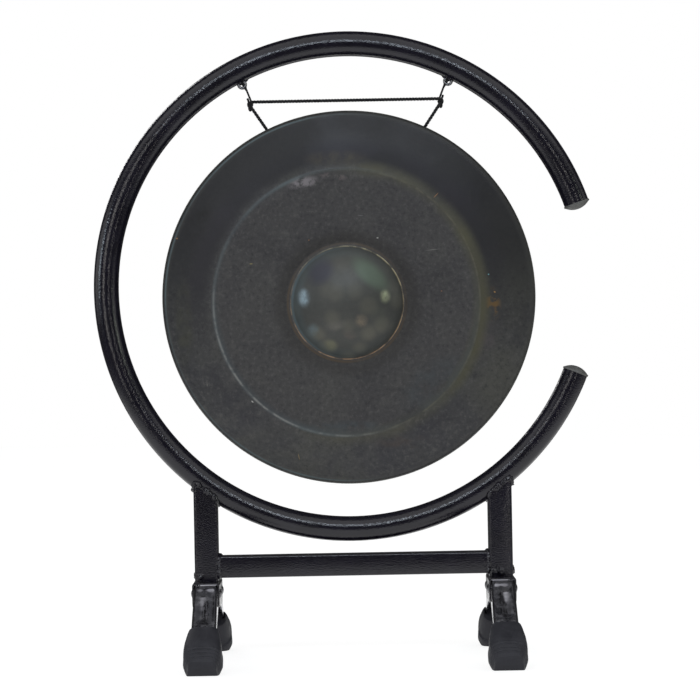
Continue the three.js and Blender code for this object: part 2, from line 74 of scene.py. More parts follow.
camera_data = bpy.data.cameras.new("camera")
camera_data.sensor_width = sensor_width
camera_data.lens = sensor_width * focal_pixels / picture_pixels
camera_data.clip_start = 0.1
camera_data.clip_end = 50
camera = bpy.data.objects.new("camera", camera_data)
scene.collection.objects.link(camera)
camera_place = Matrix.Translation((ring_centre.x + camera_side, -camera_distance, camera_height))
level = Matrix.Rotation(math.pi / 2, 4, "X")
camera.matrix_world = camera_place @ level @ Matrix.Rotation(-camera_roll, 4, "Z")
scene.camera = camera
scene.view_settings.view_transform = "Standard"
print("camera: lens", round(camera_data.lens, 1), "mm, ring centre", [round(x, 4) for x in ring_centre])

# %% [markdown]
# Every finished piece is handed over in the same way: its mesh already stands in its place, its
# object stays at the origin, curved faces are shaded smooth and creases stay sharp, and it rides on
# the body that it belongs to. One helper does this, so no piece can forget a step.

# %% Handing over a finished piece
both_sides = (("left", -1), ("right", 1))


def box_in_mm(piece):
    return [[round(c / mm, 1) for c in corner] for corner in (piece.bound_box[0], piece.bound_box[6])]


def finish_piece(name, bm, body, material, crease=38, replaces=()):
    mesh = bpy.data.meshes.new(name)
    bm.to_mesh(mesh)
    bm.free()
    mesh.shade_smooth()
    mesh.set_sharp_from_angle(angle=math.radians(crease))
    mesh.materials.append(material)
    piece = bpy.data.objects.new(name, mesh)
    scene.collection.objects.link(piece)
    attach(piece, body)
    if replaces:
        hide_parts(*replaces)
    print(name, len(mesh.polygons), "faces")
    return piece


# %% [markdown]
# A finish is a small network of nodes. Each material below starts from the same three parts, a
# Principled shader, the object's own coordinates and a few textures on them, so short helpers keep
# the recipes readable. Object coordinates hold a pattern still when the stand folds or swings. Colours
# are written as linear values, so a dark grey is a few hundredths.

# %% Helpers for materials
class Finish:
    def __init__(self, name):
        self.material = bpy.data.materials.new(name)
        self.material.use_nodes = True
        self.tree = self.material.node_tree
        self.shader = self.tree.nodes["Principled BSDF"]
        self.place = self.add("ShaderNodeTexCoord").outputs["Object"]

    def add(self, kind, **settings):
        node = self.tree.nodes.new(kind)
        for key, value in settings.items():
            setattr(node, key, value)
        return node

    def join(self, source, target):
        self.tree.links.new(source, target)

    def set(self, **values):
        for key, value in values.items():
            self.shader.inputs[key.replace("_", " ")].default_value = value

    def mapped(self, scale=(1, 1, 1), move=(0, 0, 0), turn=(0, 0, 0), kind="POINT", at=None):
        node = self.add("ShaderNodeMapping", vector_type=kind)
        node.inputs["Location"].default_value = move
        node.inputs["Rotation"].default_value = turn
        node.inputs["Scale"].default_value = scale
        self.join(at or self.place, node.inputs["Vector"])
        return node.outputs["Vector"]

    def noise(self, scale, detail=3, roughness=0.5, at=None, distortion=0):
        node = self.add("ShaderNodeTexNoise")
        node.inputs["Scale"].default_value = scale
        node.inputs["Detail"].default_value = detail
        node.inputs["Roughness"].default_value = roughness
        node.inputs["Distortion"].default_value = distortion
        self.join(at or self.place, node.inputs["Vector"])
        return node.outputs["Fac"]

    def cells(self, scale, feature="SMOOTH_F1", at=None, smooth=0.6):
        node = self.add("ShaderNodeTexVoronoi", feature=feature)
        node.inputs["Scale"].default_value = scale
        if feature == "SMOOTH_F1":
            node.inputs["Smoothness"].default_value = smooth
        self.join(at or self.place, node.inputs["Vector"])
        return node.outputs["Distance"]

    def ramp(self, source, stops):
        node = self.add("ShaderNodeValToRGB")
        elements = node.color_ramp.elements
        while len(elements) < len(stops):
            elements.new(0.5)
        for element, (position, colour) in zip(elements, stops):
            element.position = position
            element.color = (*colour, 1)
        self.join(source, node.inputs["Fac"])
        return node.outputs["Color"]

    def grey(self, source, low, high, start=0.0, end=1.0):
        node = self.add("ShaderNodeMapRange")
        node.interpolation_type = "SMOOTHSTEP"
        for key, value in (("From Min", start), ("From Max", end), ("To Min", low), ("To Max", high)):
            node.inputs[key].default_value = value
        self.join(source, node.inputs["Value"])
        return node.outputs["Result"]

    def math(self, operation, first, second=None):
        node = self.add("ShaderNodeMath", operation=operation)
        for socket, value in zip(node.inputs, (first, second)):
            if value is None:
                continue
            if isinstance(value, (int, float)):
                socket.default_value = value
            else:
                self.join(value, socket)
        return node.outputs["Value"]

    def mix(self, share, first, second):
        node = self.add("ShaderNodeMix", data_type="RGBA")
        for key, value in (("Factor", share), ("A", first), ("B", second)):
            socket = next(s for s in node.inputs if s.name == key and s.enabled)
            if isinstance(value, (int, float)):
                socket.default_value = value
            elif isinstance(value, tuple):
                socket.default_value = (*value, 1)
            else:
                self.join(value, socket)
        return next(s for s in node.outputs if s.enabled)

    def bump(self, height, distance, strength=1.0, under=None):
        node = self.add("ShaderNodeBump")
        node.inputs["Strength"].default_value = strength
        node.inputs["Distance"].default_value = distance
        self.join(height, node.inputs["Height"])
        if under is not None:
            self.join(under, node.inputs["Normal"])
        return node.outputs["Normal"]

    def drive(self, socket, source):
        self.join(source, self.shader.inputs[socket])


# %% [markdown]
# The frame is stove painted: a glossy black with a fine hammered grain that breaks the highlights
# into small glints. Cells of just over a millimetre give the grain, a broader noise makes the film
# slightly uneven, and the roughness wanders a little so that reflections are never mirror clean.
# Over the weld beads the same paint lies on rougher metal, so its grain is coarser and deeper there.

# %% Frame paint
def make_frame_paint(name, grain_scale, grain_strength):
    finish = Finish(name)
    finish.set(Metallic=0.0, IOR=1.5, Specular_IOR_Level=0.5)
    blacks = [(0.3, (0.003, 0.0025, 0.006)), (0.7, (0.007, 0.006, 0.012))]
    finish.drive("Base Color", finish.ramp(finish.noise(35, detail=4), blacks))
    grain = finish.cells(grain_scale)
    finish.drive("Roughness", finish.grey(finish.noise(420, detail=2), 0.12, 0.24, 0.3, 0.7))
    film = finish.bump(finish.noise(60, detail=2), 0.5 * mm, 0.25)
    finish.drive("Normal", finish.bump(grain, 0.2 * mm, grain_strength, under=film))
    return finish.material


frame_paint = make_frame_paint("black_hammered_paint", 800, 0.62)
weld_paint = make_frame_paint("paint_over_welds", 420, 0.9)
print("finish:", frame_paint.name, weld_paint.name)

# %% [markdown]
# The legs are pressed steel with dark, polished chrome. Chrome has almost no colour of its own, so
# its look is what it reflects. A faint long wave from the press and a little haze keep it from
# looking like a computer's mirror. The rivets and the wire eyes are steel with a dull dark plating.

# %% Chrome and dark steel
def make_chrome():
    finish = Finish("dark_chrome")
    finish.set(Metallic=1.0)
    tones = [(0.3, (0.20, 0.20, 0.23)), (0.75, (0.36, 0.36, 0.39))]
    finish.drive("Base Color", finish.ramp(finish.noise(40), tones))
    finish.drive("Roughness", finish.grey(finish.noise(160, detail=5), 0.09, 0.26, 0.35, 0.75))
    finish.drive("Normal", finish.bump(finish.noise(60, detail=2), 0.9 * mm, 0.3))
    return finish.material


def make_steel():
    finish = Finish("dark_plated_steel")
    finish.set(Metallic=1.0)
    tones = [(0.3, (0.10, 0.10, 0.11)), (0.7, (0.26, 0.26, 0.27))]
    finish.drive("Base Color", finish.ramp(finish.noise(300), tones))
    finish.drive("Roughness", finish.grey(finish.noise(500), 0.22, 0.45, 0.3, 0.7))
    finish.drive("Normal", finish.bump(finish.noise(900, detail=2), 0.1 * mm, 0.4))
    return finish.material


leg_chrome = make_chrome()
dark_steel = make_steel()
print("finish:", leg_chrome.name, dark_steel.name)

# %% [markdown]
# The boots are moulded rubber, matt and dark grey, with a fine eggshell skin and a little dust in
# uneven clouds. The plugs are a harder, lighter plastic with a fine grain. Both reflect softly, so
# roughness and a very small bump carry them.

# %% Rubber and plastic
def make_rubber():
    finish = Finish("moulded_rubber")
    finish.set(Metallic=0.0, Specular_IOR_Level=0.25)
    dust = finish.noise(70, detail=5, roughness=0.6)
    greys = [(0.3, (0.018, 0.018, 0.023)), (0.72, (0.036, 0.036, 0.043))]
    finish.drive("Base Color", finish.ramp(dust, greys))
    finish.drive("Roughness", finish.grey(dust, 0.5, 0.7, 0.3, 0.7))
    finish.drive("Normal", finish.bump(finish.noise(1500, detail=2), 0.08 * mm, 0.5))
    return finish.material


def make_plastic():
    finish = Finish("grained_plastic")
    finish.set(Metallic=0.0, Specular_IOR_Level=0.45)
    cloud = finish.noise(260, detail=3)
    greys = [(0.3, (0.075, 0.075, 0.072)), (0.7, (0.115, 0.115, 0.110))]
    finish.drive("Base Color", finish.ramp(cloud, greys))
    finish.drive("Roughness", finish.grey(cloud, 0.42, 0.6, 0.3, 0.7))
    finish.drive("Normal", finish.bump(finish.cells(1800), 0.07 * mm, 0.5))
    return finish.material


boot_rubber = make_rubber()
plug_plastic = make_plastic()
print("finish:", boot_rubber.name, plug_plastic.name)

# %% [markdown]
# The cord is black synthetic line. Its strands are modelled, so the finish only adds the fibres: a
# very fine noise for the fuzz and a soft sheen where the light grazes it.

# %% Cord
def make_cord_finish():
    finish = Finish("black_cord")
    finish.set(Metallic=0.0, Roughness=0.72, Specular_IOR_Level=0.25, Sheen_Weight=0.06, Sheen_Roughness=0.4)
    fibre = finish.noise(2600, detail=3)
    blacks = [(0.3, (0.004, 0.004, 0.005)), (0.75, (0.018, 0.018, 0.020))]
    finish.drive("Base Color", finish.ramp(fibre, blacks))
    finish.drive("Normal", finish.bump(fibre, 0.12 * mm, 0.6))
    return finish.material


cord_finish = make_cord_finish()
print("finish:", cord_finish.name)

# %% [markdown]
# The gong's cord comes up through two holes in the rim, is knotted where the hanging loops hold it,
# and runs level between the knots. It is a laid line of three strands, about three millimetres
# thick, pulled taut by the gong. Each straight stretch is three helices round one centreline, which
# gives the lay as real shape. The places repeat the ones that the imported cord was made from. The
# strands are drawn on a slightly larger radius, because their grooves make a laid line look thinner.

# %% Places along the cord
cord_radius = 1.6 * mm
drawn_radius = 1.75 * mm
gong_radius = 190.5 * mm
gong_drop = 11.8 * mm
gong_wall = 2 * mm
hole_angle = math.radians(25)
hole_radius = 3.5 * mm
hole_x = gong_radius * math.sin(hole_angle)
hole_height = gong_radius * math.cos(hole_angle) - gong_drop
bar_above_hole = 28.45 * mm
knot_below_bar = 3.9 * mm
bar_height = hole_height + bar_above_hole
knot_height = bar_height - knot_below_bar
eye_low, eye_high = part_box("eye_right")
eye_x = (eye_low.x + eye_high.x) / 2 - ring_centre.x
eye_height = (eye_low.z + eye_high.z) / 2 - ring_centre.z
knot_inside_eye = 4.24 * mm
loop_inside_knot = 2.4 * mm
knot_x = eye_x - knot_inside_eye
loop_foot_x = knot_x - loop_inside_knot
stopper_past = gong_wall + 4.5 * mm


def from_ring(x, z, y=0.0):
    return ring_centre + Vector((x, y, z))


print("knots", round(knot_x / mm, 1), "mm out, bar", round(bar_height / mm, 1), "mm above the ring's centre")


# %% A tube along a list of points
def tube_mesh(bm, points, radius, sides=8, closed=False, swells=None):
    # A swell is the thickness at one point, as a share of the radius.
    data = bpy.data.curves.new("stretch", "CURVE")
    data.dimensions = "3D"
    data.bevel_depth = radius
    data.bevel_resolution = max(0, sides // 2 - 2)
    data.use_fill_caps = not closed
    spline = data.splines.new("POLY")
    spline.points.add(len(points) - 1)
    spline.use_cyclic_u = closed
    for point, place, swell in zip(spline.points, points, swells or [1] * len(points)):
        point.co = (*place, 1)
        point.radius = swell
    holder = bpy.data.objects.new("stretch", data)
    scene.collection.objects.link(holder)
    bpy.context.view_layer.update()
    mesh = bpy.data.meshes.new_from_object(holder.evaluated_get(bpy.context.evaluated_depsgraph_get()))
    bm.from_mesh(mesh)
    bpy.data.objects.remove(holder)
    bpy.data.curves.remove(data)
    bpy.data.meshes.remove(mesh)


def laid_line(bm, start, end, radius, strands=3, lay=9.5 * mm, steps_per_turn=14):
    along = end - start
    side = along.orthogonal().normalized()
    up = along.normalized().cross(side)
    turns = along.length / lay
    count = max(8, int(turns * steps_per_turn))
    strand_radius = radius / 2
    offset = radius - strand_radius
    for strand in range(strands):
        points = []
        for i in range(count + 1):
            share = i / count
            angle = 2 * math.pi * (turns * share + strand / strands)
            swing = side * (offset * math.cos(angle)) + up * (offset * math.sin(angle))
            points.append(start + along * share + swing)
        tube_mesh(bm, points, strand_radius, sides=8)


bar_start = from_ring(-knot_x, bar_height)
bar_end = from_ring(knot_x, bar_height)
bm = bmesh.new()
laid_line(bm, bar_start, bar_end, radius=drawn_radius)
cord_bar = finish_piece("cord_bar", bm, "sling", cord_finish, replaces=("gong_cord",))

slants = {}
for side_name, side in both_sides:
    knot_place = from_ring(side * knot_x, knot_height)
    hole_place = from_ring(side * hole_x, hole_height)
    inside = hole_place + (hole_place - knot_place).normalized() * stopper_past
    bm = bmesh.new()
    laid_line(bm, inside, knot_place, radius=drawn_radius)
    slant = finish_piece(f"cord_slant_{side_name}", bm, "sling", cord_finish)
    slants[side_name] = (slant, inside, knot_place)
print("slants", [round((b - a).length / mm, 1) for _, a, b in slants.values()], "mm long")

# %% [markdown]
# A knot is the cord crossing over itself. The trefoil is the curve of a plain overhand knot, so a
# thin tube along it, drawn out a little, looks right from any side. Each outer knot also shows a
# short cut end, standing up beside the thin loop.

# %% Knots on the cord
knot_depth_share = 0.55


def knot_points(centre, width, height, count=54):
    points = []
    for i in range(count):
        t = 2 * math.pi * i / count
        x = (math.sin(t) + 2 * math.sin(2 * t)) / 3
        y = (math.cos(t) - 2 * math.cos(2 * t)) / 3
        z = -math.sin(3 * t)
        points.append(centre + Vector((x * width, z * width * knot_depth_share, y * height)))
    return points


knot_half_width = 2.1 * mm
knot_half_height = 4.6 * mm
knot_line = 1.25 * mm
stopper_half = 2.7 * mm
stopper_line = 1.3 * mm
tail_radius = 1.2 * mm
tail_lay = 7 * mm
tail_out = 2.6 * mm
tail_back = 0.4 * mm
tail_rise = 7.6 * mm
for side_name, side in both_sides:
    _, inside, knot_place = slants[side_name]
    bm = bmesh.new()
    tube_mesh(bm, knot_points(knot_place, knot_half_width, knot_half_height), knot_line, closed=True)
    tail_top = knot_place + Vector((side * tail_out, tail_back, tail_rise))
    laid_line(bm, knot_place, tail_top, radius=tail_radius, lay=tail_lay)
    knot = finish_piece(f"knot_{side_name}", bm, "sling", cord_finish)
    bm = bmesh.new()
    tube_mesh(bm, knot_points(inside, stopper_half, stopper_half), stopper_line, closed=True)
    stopper = finish_piece(f"stopper_knot_{side_name}", bm, "sling", cord_finish)


# %% [markdown]
# Between each welded eye and the cord hangs a thin loop of line, pulled into two close strands. The
# path is a long closed ring that stands edge-on to the viewer, so from the front it reads as one thin
# strand and from the side as a loop.

# %% Hanging loops
loop_radius = 3.4 * mm
loop_line = 1 * mm
eye_wire = 1.5 * mm
eye_radius = 4 * mm
seat_gap = 0.3 * mm


def loop_points(top, foot, radius, arc_steps=12):
    along = (top - foot).normalized()
    across = Vector((0, 1, 0))
    points = []
    for centre, lead in ((top - along * radius, 0), (foot + along * radius, math.pi)):
        for i in range(arc_steps + 1):
            angle = lead + math.pi * i / arc_steps
            points.append(centre + across * (radius * math.cos(angle)) + along * (radius * math.sin(angle)))
    return points


for side_name, side in both_sides:
    top = from_ring(side * eye_x, eye_height - eye_radius + eye_wire + seat_gap + loop_line)
    foot = from_ring(side * loop_foot_x, bar_height - cord_radius - seat_gap - loop_line)
    bm = bmesh.new()
    tube_mesh(bm, loop_points(top, foot, loop_radius), loop_line, closed=True)
    finish_piece(f"loop_{side_name}", bm, "sling", cord_finish,
                 replaces=(f"hanger_loop_{side_name}",))

# %% [markdown]
# The ring is one steel tube rolled to a circle and left open on one side. Spinning a section of the
# tube, outside and bore together, round the ring's axis gives that shape exactly: a circle swept
# through an arc, with no facets in the outline.

# %% Ring tube
mouth_half_angle = math.radians(20.5)
mouth_turn = math.radians(-1.4)
ring_wall = 1.5 * mm
ring_axis = Vector((0, 1, 0))
ring_sides = 48
ring_steps = 220
merge_distance = 0.001 * mm


def ring_place(angle, radius=ring_radius, y=0.0):
    return from_ring(radius * math.cos(angle), radius * math.sin(angle), y)


def ring_section(angle):
    # Stands a flat circle across the ring at this angle.
    c, s = math.cos(angle), math.sin(angle)
    turn = Matrix(((c, 0, -s, 0), (0, 1, 0, 0), (s, 0, c, 0), (0, 0, 0, 1)))
    return Matrix.Translation(ring_place(angle)) @ turn


def close_up(bm):
    bmesh.ops.remove_doubles(bm, verts=bm.verts[:], dist=merge_distance)
    bmesh.ops.recalc_face_normals(bm, faces=bm.faces[:])
    return bm


def sweep_round_ring(bm, sweep, steps):
    # A copy of the section is spun, so that the section itself stays and closes the near end.
    copied = bmesh.ops.duplicate(bm, geom=bm.verts[:] + bm.edges[:] + bm.faces[:])["geom"]
    bmesh.ops.spin(bm, geom=copied, cent=ring_centre, axis=ring_axis, angle=-sweep, steps=steps)
    return close_up(bm)


def make_ring_tube():
    bm = bmesh.new()
    for radius in (tube_radius, tube_radius - ring_wall):
        bmesh.ops.create_circle(bm, cap_ends=False, segments=ring_sides, radius=radius,
                                matrix=ring_section(mouth_turn + mouth_half_angle))
    bmesh.ops.bridge_loops(bm, edges=bm.edges[:])
    return sweep_round_ring(bm, 2 * math.pi - 2 * mouth_half_angle, ring_steps)


ring_piece = finish_piece("ring", make_ring_tube(), "frame", frame_paint,
                          replaces=("ring_tube",))
print("ring box in mm:", box_in_mm(ring_piece))

# %% [markdown]
# Round parts are turned, as on a lathe: the outline of one half is spun once round an axis, and the
# seam and the pole are merged. A few helpers draw the outlines. Arcs give true radii, and a smooth
# path runs through chosen points, so that an outline needs only the points that its shape needs.

# %% Helpers for turned parts
def arc(centre, radius, start, end, steps):
    angles = [math.radians(start + (end - start) * i / steps) for i in range(steps + 1)]
    return [(centre[0] + radius * math.cos(a), centre[1] + radius * math.sin(a)) for a in angles]


def smooth_path(points, steps):
    places = [Vector(p) for p in points]
    ends = [2 * places[0] - places[1]] + places + [2 * places[-1] - places[-2]]
    path = []
    for before, here, there, after in zip(ends, ends[1:], ends[2:], ends[3:]):
        for i in range(steps):
            t = i / steps
            path.append(0.5 * (2 * here + (there - before) * t
                               + (2 * before - 5 * here + 4 * there - after) * t * t
                               + (3 * here - before - 3 * there + after) * t * t * t))
    return path + [places[-1]]


def turned(profile, steps=64):
    bm = bmesh.new()
    verts = [bm.verts.new((radius, 0, height)) for radius, height in profile]
    edges = [bm.edges.new(pair) for pair in zip(verts, verts[1:])]
    bmesh.ops.spin(bm, geom=verts + edges, cent=(0, 0, 0), axis=(0, 0, 1), angle=2 * math.pi, steps=steps,
                   use_merge=True)
    return close_up(bm)


def along_matrix(place, direction):
    return Matrix.Translation(place) @ Vector(direction).to_track_quat("Z", "Y").to_matrix().to_4x4()


def move(bm, matrix):
    bmesh.ops.transform(bm, matrix=matrix, verts=bm.verts[:])


# %% [markdown]
# Where a hole or a fitted end is needed, one solid is cut from another with a boolean, and the
# result is read back as a mesh at once, so no modifier is left live on a finished piece. A plain flat
# cut needs only a plane, and the hole that it leaves is then filled.

# %% Helper for cutting one solid with another
def as_object(bm, name):
    mesh = bpy.data.meshes.new(name)
    bm.to_mesh(mesh)
    holder = bpy.data.objects.new(name, mesh)
    scene.collection.objects.link(holder)
    return holder


def cut(bm, cutters, operation="DIFFERENCE"):
    blank = as_object(bm, "blank")
    bm.free()
    tools = [as_object(cutter, "cutter") for cutter in cutters]
    for tool in tools:
        modifier = blank.modifiers.new("cut", "BOOLEAN")
        modifier.operation = operation
        modifier.solver = "EXACT"
        modifier.object = tool
    bpy.context.view_layer.update()
    mesh = bpy.data.meshes.new_from_object(blank.evaluated_get(bpy.context.evaluated_depsgraph_get()))
    result = bmesh.new()
    result.from_mesh(mesh)
    for holder in [blank] + tools:
        old = holder.data
        bpy.data.objects.remove(holder)
        bpy.data.meshes.remove(old)
    bpy.data.meshes.remove(mesh)
    for cutter in cutters:
        cutter.free()
    return result


def trim(bm, point, outward):
    bmesh.ops.bisect_plane(bm, geom=bm.verts[:] + bm.edges[:] + bm.faces[:], plane_co=point,
                           plane_no=outward, clear_outer=True)
    bmesh.ops.holes_fill(bm, edges=[e for e in bm.edges if e.is_boundary])
    bmesh.ops.recalc_face_normals(bm, faces=bm.faces[:])


def rod(radius, length, matrix, segments=32):
    bm = bmesh.new()
    bmesh.ops.create_cone(bm, cap_ends=True, cap_tris=False, segments=segments, radius1=radius,
                          radius2=radius, depth=length, matrix=matrix)
    return bm


# %% [markdown]
# Each open end of the ring is closed by a plastic plug. Its lip stands a little proud of the tube,
# and its cap is a low lens. Both are one turned outline, with small radii where the mould has them.

# %% End plugs
plug_lip_radius = tube_radius + 0.7 * mm
plug_lip = 2 * mm
plug_round = 0.5 * mm
plug_dome = 4.6 * mm
plug_stem = 12 * mm
plug_stem_slack = 0.4 * mm
plug_seat = 0.1 * mm
plug_dome_inset = 0.8 * mm
plug_dome_power = 2.2
plug_dome_steps = 14


def plug_profile():
    stem_radius = tube_radius - ring_wall - plug_stem_slack
    dome_edge = plug_lip_radius - plug_dome_inset
    points = [(0, -plug_stem), (stem_radius, -plug_stem), (stem_radius, plug_seat)]
    points += [(plug_lip_radius - plug_round, plug_seat)]
    points += arc((plug_lip_radius - plug_round, plug_seat + plug_round), plug_round, -90, 0, 4)
    points += arc((plug_lip_radius - plug_round, plug_seat + plug_lip - plug_round), plug_round, 0, 90, 4)
    for i in range(plug_dome_steps + 1):
        share = 1 - i / plug_dome_steps
        points.append((dome_edge * share, plug_seat + plug_lip + plug_dome * (1 - share ** plug_dome_power)))
    return points


for end_name, side in (("top", 1), ("bottom", -1)):
    angle = mouth_turn + side * mouth_half_angle
    place = ring_place(angle)
    towards = Vector((side * math.sin(angle), 0, -side * math.cos(angle)))
    bm = turned(plug_profile(), steps=72)
    move(bm, along_matrix(place, towards))
    finish_piece(f"plug_{end_name}", bm, "frame", plug_plastic, crease=50,
                 replaces=(f"end_plug_{end_name}",))

# %% [markdown]
# The posts are square tube with small corner radii. Each blank is a bevelled bar, trimmed by a plane
# along the ring's slope and then mitred with a length of the ring's own tube, so that the post meets
# the ring as a fitter would cut it.

# %% Posts
post_side = 24 * mm
post_corner = 2.5 * mm
post_spacing = 299 * mm
cope_half_span = 0.16
cope_steps = 48
bracket_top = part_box("bracket_left")[1].z
post_x = {"left": ring_centre.x - post_spacing / 2, "right": ring_centre.x + post_spacing / 2}


def square_bar(side, corner, length, segments=5):
    bm = bmesh.new()
    bmesh.ops.create_cube(bm, size=1, matrix=Matrix.Diagonal((side, side, length, 1)))
    upright = [e for e in bm.edges if abs(e.verts[0].co.z - e.verts[1].co.z) > length / 2]
    bmesh.ops.bevel(bm, geom=upright, offset=corner, segments=segments, profile=0.5, affect="EDGES",
                    material=-1)
    return bm


def length_of_ring(middle):
    bm = bmesh.new()
    bmesh.ops.create_circle(bm, cap_ends=True, segments=ring_sides, radius=tube_radius,
                            matrix=ring_section(middle - cope_half_span))
    return sweep_round_ring(bm, 2 * cope_half_span, cope_steps)


for side_name, side in both_sides:
    angle = 1.5 * math.pi + side * math.asin(post_spacing / 2 / ring_radius)
    joint = ring_place(angle)
    length = joint.z - bracket_top + post_side
    bm = square_bar(post_side, post_corner, length)
    bmesh.ops.translate(bm, vec=(post_x[side_name], 0, bracket_top + length / 2), verts=bm.verts[:])
    trim(bm, joint, (ring_centre - joint).normalized())
    bm = cut(bm, [length_of_ring(angle)])
    finish_piece(f"upright_{side_name}", bm, "frame", frame_paint,
                 replaces=(f"post_{side_name}",))

# %% [markdown]
# The crossbar is the same kind of tube, a little smaller, between the posts. It keeps the two posts
# square when the stand is lifted by its ring.

# %% Crossbar
crossbar_side = 22 * mm
crossbar_corner = 2 * mm
crossbar_low, crossbar_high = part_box("crossbar")
crossbar_z = (crossbar_low.z + crossbar_high.z) / 2
crossbar_length = post_spacing - post_side
bm = square_bar(crossbar_side, crossbar_corner, crossbar_length)
move(bm, Matrix.Translation((ring_centre.x, 0, crossbar_z)) @ Matrix.Rotation(math.pi / 2, 4, "Y"))
finish_piece("tie_bar", bm, "frame", frame_paint, replaces=("crossbar",))

# %% [markdown]
# The joints are welded by hand and painted over, so each one shows a lumpy bead. A bead is a tube
# along the seam whose thickness rises and falls as the welder paused, and whose surface is pushed
# about by noise. It is the seam's own curve that makes it believable, so that curve is worked out
# from the two parts that meet. Blender's vector noise starts from the clock unless it is given a seed,
# so one is set here and every run gives the same beads.

# %% Weld beads
noise_seed = 5
noise.seed_set(noise_seed)
bead_step = 0.45 * mm
bead_pitch = 3.2 * mm
bead_ripple = 0.1
bead_swell_scale = 180
bead_wobble_scale = 420
bead_wobble_share = 0.6


def spaced(points, step):
    # Fills a closed outline with points that lie about one step apart.
    dense = []
    for here, there in zip(points, points[1:] + points[:1]):
        count = max(1, round((there - here).length / step))
        dense += [here.lerp(there, i / count) for i in range(count)]
    return dense


def make_bead(points, radius, lump, seed):
    fine = spaced(points, bead_step)
    swells = []
    run = 0
    for i, place in enumerate(fine):
        run += (place - fine[i - 1]).length if i else 0
        ripple = 1 + bead_ripple * math.sin(2 * math.pi * run / bead_pitch + seed)
        swell = 1 + lump * noise.noise(place * bead_swell_scale + Vector((seed, 0, 0)))
        swells.append(ripple * swell)
    bm = bmesh.new()
    tube_mesh(bm, fine, radius, sides=12, closed=True, swells=swells)
    for vert in bm.verts:
        wobble = noise.noise_vector(vert.co * bead_wobble_scale + Vector((0, seed, 0)))
        vert.co += wobble * (radius * lump * bead_wobble_share)
    return bm


def square_seam(half, corner, steps=5):
    points = []
    for turn, (sx, sy) in enumerate(((1, 1), (-1, 1), (-1, -1), (1, -1))):
        centre = Vector((sx * (half - corner), sy * (half - corner)))
        for i in range(steps + 1):
            angle = math.pi / 2 * (turn + i / steps)
            points.append(centre + corner * Vector((math.cos(angle), math.sin(angle))))
    return points


def on_ring_underside(x, y):
    across = x - ring_centre.x
    reach = ring_radius + math.sqrt(max(tube_radius ** 2 - y ** 2, 0))
    return Vector((x, y, ring_centre.z - math.sqrt(reach ** 2 - across ** 2)))


seam_step = 1 * mm
bead_radius = 3 * mm
bead_sink = 1.1 * mm
bead_lump = 0.75
foot_bead_radius = 4.4 * mm
foot_bead_sink = 3.4 * mm
foot_bead_rise = 5.2 * mm
foot_bead_lump = 0.6
tie_bead_radius = 2.9 * mm
tie_bead_sink = 1.4 * mm
tie_bead_lump = 0.5


def finish_bead(name, seam, radius, lump, seed):
    finish_piece(name, make_bead(seam, radius, lump, seed), "frame", weld_paint, crease=80)


# The seeds only make each bead different from the others.
for side_name, x in post_x.items():
    outline = spaced(square_seam(post_side / 2 - bead_sink, post_corner), seam_step)
    seam = [on_ring_underside(x + p.x, p.y) for p in outline]
    finish_bead(f"weld_post_{side_name}", seam, bead_radius, bead_lump, seed=3.0 + x * 10)
    outline = square_seam(post_side / 2 - foot_bead_sink, post_corner)
    seam = [Vector((x + p.x, p.y, bracket_top + foot_bead_rise)) for p in outline]
    finish_bead(f"weld_foot_{side_name}", seam, foot_bead_radius, foot_bead_lump, seed=7.0 + x * 10)

tie_bead_inset = 0.6 * mm
for side_name, side in both_sides:
    end_x = ring_centre.x + side * (crossbar_length / 2 - tie_bead_inset)
    outline = square_seam(crossbar_side / 2 - tie_bead_sink, crossbar_corner)
    seam = [Vector((end_x, p.x, crossbar_z + p.y)) for p in outline]
    finish_bead(f"weld_tie_{side_name}", seam, tie_bead_radius, tie_bead_lump, seed=11.0 + side)

# %% [markdown]
# Under each post sits a short channel of folded steel, open below, that the legs hinge in. It is
# folded here as in the shop: a box without its ends and bottom, its two long edges bent round, the
# flanges' lower corners rounded, and the sheet then given its thickness.

# %% Brackets
bracket_length = 62 * mm
bracket_height = 25 * mm
bracket_wall = 1.6 * mm
bracket_bend = 3 * mm
bracket_corner = 7 * mm
leg_width = 24.5 * mm
leg_top_share = 0.96
running_gap = 0.4 * mm
bracket_width = leg_width * leg_top_share + 2 * running_gap + 2 * bracket_wall
stop_gap = 1.1 * mm
pin_inset = 12 * mm
pin_drop = 9 * mm
pin_radius = 3 * mm
pin_y = bracket_length / 2 - pin_inset
leg_top_z = bracket_top - bracket_wall - stop_gap
pin_z = leg_top_z - pin_drop


def thicken(bm, wall):
    bmesh.ops.recalc_face_normals(bm, faces=bm.faces[:])
    bmesh.ops.solidify(bm, geom=bm.faces[:], thickness=wall)
    bmesh.ops.recalc_face_normals(bm, faces=bm.faces[:])


def make_bracket(x):
    bm = bmesh.new()
    size = Matrix.Diagonal((bracket_width, bracket_length, bracket_height, 1))
    place = Matrix.Translation((x, 0, bracket_top - bracket_height / 2))
    bmesh.ops.create_cube(bm, size=1, matrix=place @ size)
    away = [f for f in bm.faces if f.normal.z < -0.5 or abs(f.normal.y) > 0.5]
    bmesh.ops.delete(bm, geom=away, context="FACES")
    low = [v for v in bm.verts if v.co.z < bracket_top - bracket_height / 2]
    bmesh.ops.bevel(bm, geom=low, offset=bracket_corner, segments=8, profile=0.5, affect="VERTICES",
                    material=-1)
    folds = [e for e in bm.edges if len(e.link_faces) == 2 and e.calc_face_angle() > 1]
    bmesh.ops.bevel(bm, geom=folds, offset=bracket_bend, segments=8, profile=0.5, affect="EDGES", material=-1)
    thicken(bm, bracket_wall)
    return bm


for side_name, x in post_x.items():
    piece = finish_piece(f"channel_{side_name}", make_bracket(x), "frame", frame_paint,
                         replaces=(f"bracket_{side_name}",))
    print("box in mm:", box_in_mm(piece))

